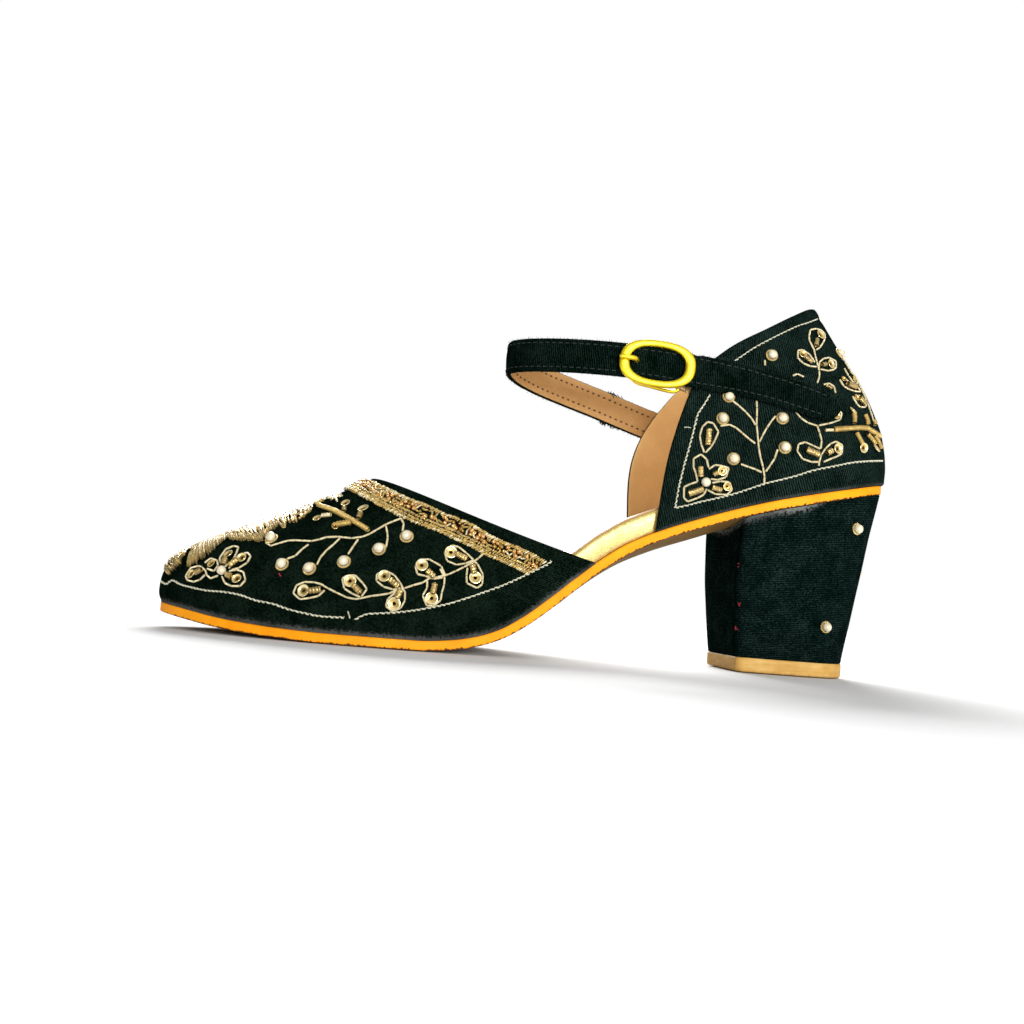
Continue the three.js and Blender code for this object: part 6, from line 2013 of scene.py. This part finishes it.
# gold work over the back seam
for a, b, r_ in (
    ((540, 560), (680, 555), 0.45), ((670, 556), (780, 545), 0.78), ((780, 545), (880, 540), 0.78), ((880, 540), (980, 530), 0.72),
    ((980, 530), (1100, 530), 0.75), ((1100, 530), (1200, 540), 0.75), ((1200, 550), (1290, 600), 0.75), ((1290, 600), (1370, 660), 0.75),
    ((975, 300), (990, 375), 0.72), ((990, 375), (985, 450), 0.66),
    ((1020, 600), (1070, 690), 0.62), ((1070, 690), (1110, 770), 0.62), ((1150, 320), (1185, 400), 0.66), ((1185, 400), (1195, 475), 0.66),
    ((1190, 620), (1250, 690), 0.62), ((1250, 690), (1310, 770), 0.62), ((1300, 640), (1360, 740), 0.62), ((1360, 740), (1400, 840), 0.62), ((1300, 410), (1310, 480), 0.62),
):
    bugle_on(quarter, *c24([a, b]), r_mm=r_ * 1.22, bag="purl" if r_ > 0.5 else "cord")
sequin_on(quarter, one(c24, 965, 262), 1.5, 0.2)
sequin_on(quarter, one(c24, 1135, 830), 1.6, 0.2)
sequin_on(quarter, one(c24, 1330, 850), 1.6, 0.2)
leaf(quarter, c23([(95, 435), (140, 520), (190, 590), (240, 610), (230, 540), (160, 470)]), one(c23, 195, 555), None, 1.1)
leaf(quarter, c23([(45, 560), (70, 610), (110, 650), (200, 690), (280, 690), (220, 620), (130, 580), (80, 535)]), one(c23, 80, 560), c23([(120, 615), (210, 650)]), 0.9)
leaf(quarter, c23([(190, 745), (215, 800), (260, 860), (300, 878), (340, 850), (310, 780), (250, 735)]), one(c23, 225, 765), c23([(250, 770), (310, 830)]), 1.1)
pearl_on(quarter, one(c23, 35, 270), 1.3, ring=True)
pearl_on(quarter, one(c23, 75, 330), 0.9, ring=False)
cord_on(quarter, c23([(100, 360), (150, 440), (230, 560), (300, 690), (350, 820), (400, 960), (430, 1060)]))
# heel cover
for c in ((856, 529), (825, 627), None):
    if c is None:
        # the third one sits round the back and shows only its rim from the side
        i = int(np.argmin(np.abs(heel_outer.P[:, 40, 2] - 33.6)))
        turned = (heel_outer.N[i] * unit(heel_outer.P[i] - CAM)).sum(-1)
        ab = np.array([[i, int(np.argmax(turned > 0.34)) or len(turned) - 3]])
    else:
        ab = heel_outer.casts([c])
    P, N = heel_outer.at(ab, 0)
    ball(bags["pearl"], P[0] + N[0] * 1.2, N[0], 1.5, seg=20, rings=12, squash=0.92)
    P2 = P[0] * np.array([1, -1, 1])
    N2 = N[0] * np.array([1, -1, 1])
    ball(bags["pearl"], P2 + N2 * 1.2, N2, 1.5, seg=20, rings=12, squash=0.92)
    for (p, nn) in ((P[0], N[0]), (P2, N2)):
        a = np.linspace(0, 2 * math.pi, 26, endpoint=False)
        e1 = unit(np.cross(nn, [0.2, 0.1, 1.0]))
        e2 = np.cross(nn, e1)
        Q = p + nn * 0.40 + 1.66 * (np.cos(a)[:, None] * e1 + np.sin(a)[:, None] * e2)
        tube(bags["ring"], Q, np.broadcast_to(nn, Q.shape), 0.34, sides=7, closed=True)

# nap standing off the cut edges, and two frayed places on the inner run of the strap
_r = np.random.default_rng(81)


def hair(bag, p, d, long_, radius):
    u = np.linspace(0, 1, 4)[:, None]
    bend = unit(np.cross(d, _r.normal(0, 1, 3))) * long_ * 0.25
    tube(bags[bag], p + d * u * long_ + bend * u**2, unit(np.cross(d, [0.3, 0.5, 0.8])), radius * np.array([1.0, 0.9, 0.7, 0.3]), sides=3)


def shown(p):
    v = np.asarray(p) - CAM
    w = v @ VIEW
    return np.array([512 + FOCAL * (v @ RIGHT) / w, 512 - FOCAL * (v @ UP) / w])


_at = np.arange(3.0, STRAP_TOTAL - 3.0, 0.75)
for side in (-1, 1):
    for d_ in _at + _r.uniform(-0.4, 0.4, len(_at)):
        h = float(strap_half(d_))
        n_ = STRAP_THICKNESS * _r.uniform(0.4, 1.0)
        p = strap_point(d_, side * (h - 0.12), n_)[0][0]
        q = strap_point(d_, side * (h - 1.4), n_)[0][0]
        hair("fuzz", p, unit(unit(p - q) + _r.normal(0, 0.35, 3)), _r.uniform(0.35, 0.8), 0.075)
for target, count in (((611, 394), 34), ((617, 392), 10), ((604, 420), 26), ((612, 425), 22), ((617, 428), 12)):
    best = None
    for d_ in np.arange(1.0, STRAP_TOTAL - 1.0, 0.5):
        for side in (-1, 1):
            p = strap_point(d_, side * float(strap_half(d_)), STRAP_THICKNESS * 0.6)[0][0]
            if p[1] < 0:
                continue
            e = np.abs(shown(p) - target).sum()
            if best is None or e < best[0]:
                best = (e, d_, side)
    _, d0, side = best
    for _ in range(count):
        d_ = d0 + _r.normal(0, 1.0)
        h = float(strap_half(d_))
        n_ = STRAP_THICKNESS * _r.uniform(0.1, 0.9)
        p = strap_point(d_, side * (h - 0.25), n_)[0][0]
        q = strap_point(d_, side * (h - 1.6), n_)[0][0]
        hair("fuzz", p, unit(unit(p - q) + _r.normal(0, 0.55, 3)), _r.uniform(0.5, 1.4), 0.20)

# stray red fibres
_r = np.random.default_rng(71)
for c, long_, count in (((739, 566), 0.9, 2), ((739.5, 604), 1.1, 3), ((737, 628), 1.3, 4)):
    for _ in range(count):
        g = heel_outer.casts([(c[0] + _r.normal(0, 0.9), c[1] + _r.normal(0, 1.6))])
        P, N = heel_outer.at(g, 0)
        d = unit(np.cross(N[0], _r.normal(0, 1, 3)))
        u = np.linspace(-1, 1, 5)[:, None]
        X = P[0] + N[0] * (0.16 + 0.22 * (1 - u**2)) + d * u * long_ * _r.uniform(0.3, 0.6)
        tube(bags["red"], X, N[0], 0.16 * np.array([0.5, 1, 1, 1, 0.5]), sides=5)
g = vamp.casts([(280, 575)])
P, N = vamp.at(g, 0)
for _ in range(3):
    d = unit(np.cross(N[0], _r.normal(0, 1, 3)))
    u = np.linspace(-1, 1, 5)[:, None]
    tube(bags["red"], P[0] + N[0] * (0.12 + 0.15 * (1 - u**2)) + d * u * 0.7, N[0], 0.14 * np.array([0.5, 1, 1, 1, 0.5]), sides=5)

made = {
    "cord": ("embroidery_cord", "cord", "gold_thread"),
    "stitch": ("couched_stitches", "stitch", "gold_thread"),
    "purl": ("purl_coils", "purl", "gold_thread"),
    "satin": ("satin_strands", "satin", "gold_thread"),
    "sequin": ("sequin_cups", "sequin", "gold_thread"),
    "bugle": ("bugle_beads", "bugle", "gold_thread"),
    "amber": ("amber_beads", "amber", "gold_thread"),
    "pearl": ("pearl_beads", "pearl", "pearl"),
    "ring": ("pearl_rings", "ring", "gold_thread"),
    "red": ("red_fibres", "red", "upper_fabric"),
    "fuzz": ("strap_nap", "fuzz", "upper_fabric"),
}
for key, (name, mat, slot) in made.items():
    ob = bags[key].make(name, M[mat])

# ------------------------------------------------------------------ floor, light, camera
floor_mesh = bpy.data.meshes.new("floor")
_r, _n = 14.0, 96
_fv = [(math.cos(a) * _r, math.sin(a) * _r, -0.0003) for a in np.linspace(0, 2 * math.pi, _n, endpoint=False)]
floor_mesh.from_pydata(_fv, [], [list(range(_n))])
floor = bpy.data.objects.new("floor", floor_mesh)
bpy.context.scene.collection.objects.link(floor)
fm, fnt, fb = material("floor_white", (0.75, 0.75, 0.75), 0.95, Specular_IOR_Level=0.05)
floor_mesh.materials.append(fm)
floor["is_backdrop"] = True

scene = bpy.context.scene
world = bpy.data.worlds.new("studio") if scene.world is None else scene.world
scene.world = world
world.use_nodes = True
wt = world.node_tree
wt.nodes.clear()
w_out = wt.nodes.new("ShaderNodeOutputWorld")
w_mix = wt.nodes.new("ShaderNodeMixShader")
w_path = wt.nodes.new("ShaderNodeLightPath")
w_seen = wt.nodes.new("ShaderNodeBackground")
w_lit = wt.nodes.new("ShaderNodeBackground")
w_seen.inputs[0].default_value = (1, 1, 1, 1)
w_seen.inputs[1].default_value = 1.0
w_co = wt.nodes.new("ShaderNodeTexCoord")
w_dot = wt.nodes.new("ShaderNodeVectorMath")
w_dot.operation = "DOT_PRODUCT"
w_dot.inputs[1].default_value = (0.45, -0.55, 0.70)
w_ramp = wt.nodes.new("ShaderNodeValToRGB")
w_ramp.color_ramp.elements[0].position = 0.0
w_ramp.color_ramp.elements[0].color = (0.21, 0.22, 0.23, 1)
w_ramp.color_ramp.elements[1].position = 0.95
w_ramp.color_ramp.elements[1].color = (0.85, 0.85, 0.84, 1)
wt.links.new(w_co.outputs["Generated"], w_dot.inputs[0])
wt.links.new(w_dot.outputs["Value"], w_ramp.inputs[0])
wt.links.new(w_ramp.outputs[0], w_lit.inputs[0])
w_lit.inputs[1].default_value = 0.85
wt.links.new(w_path.outputs["Is Camera Ray"], w_mix.inputs[0])
wt.links.new(w_lit.outputs[0], w_mix.inputs[1])
wt.links.new(w_seen.outputs[0], w_mix.inputs[2])
wt.links.new(w_mix.outputs[0], w_out.inputs[0])
scene.view_settings.view_transform = "Standard"
scene.view_settings.look = "None"
scene.view_settings.exposure = 0.0
scene.view_settings.gamma = 1.0


def sun(name, energy, direction, angle):
    l = bpy.data.lights.new(name, "SUN")
    l.energy = energy
    l.angle = math.radians(angle)
    o = bpy.data.objects.new(name, l)
    bpy.context.scene.collection.objects.link(o)
    o.rotation_mode = "QUATERNION"
    o.rotation_quaternion = Vector(direction).to_track_quat("-Z", "Y")
    return o


def area(name, energy, at, look, size):
    l = bpy.data.lights.new(name, "AREA")
    l.energy = energy
    l.shape = "RECTANGLE"
    l.size, l.size_y = size
    o = bpy.data.objects.new(name, l)
    bpy.context.scene.collection.objects.link(o)
    o.location = at
    o.rotation_mode = "QUATERNION"
    o.rotation_quaternion = (Vector(look) - Vector(at)).to_track_quat("-Z", "Y")
    return o


sun("sun_back", 7.0, (-0.04, -0.885, -0.455), 36)
area("key_front", 10.5, (0.22, -1.0, 0.17), (0, 0, 0.05), (0.26, 0.26))

cam_data = bpy.data.cameras.new("camera")
cam_data.sensor_fit = "HORIZONTAL"
cam_data.sensor_width = 36.0
cam_data.lens = FOCAL * 36.0 / 1024.0
cam_data.clip_start, cam_data.clip_end = 0.01, 60.0
cam = bpy.data.objects.new("camera", cam_data)
scene.collection.objects.link(cam)
_c = (CAM + OFF) / 1000
cam.matrix_world = Matrix(
    (
        (RIGHT[0], UP[0], -VIEW[0], _c[0]),
        (RIGHT[1], UP[1], -VIEW[1], _c[1]),
        (RIGHT[2], UP[2], -VIEW[2], _c[2]),
        (0, 0, 0, 1),
    )
)
scene.camera = cam

total = 0
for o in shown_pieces():
    n = sum(len(p.vertices) - 2 for p in o.data.polygons)
    total += n
    print("tris", o.name, n)
print("tris total", total)
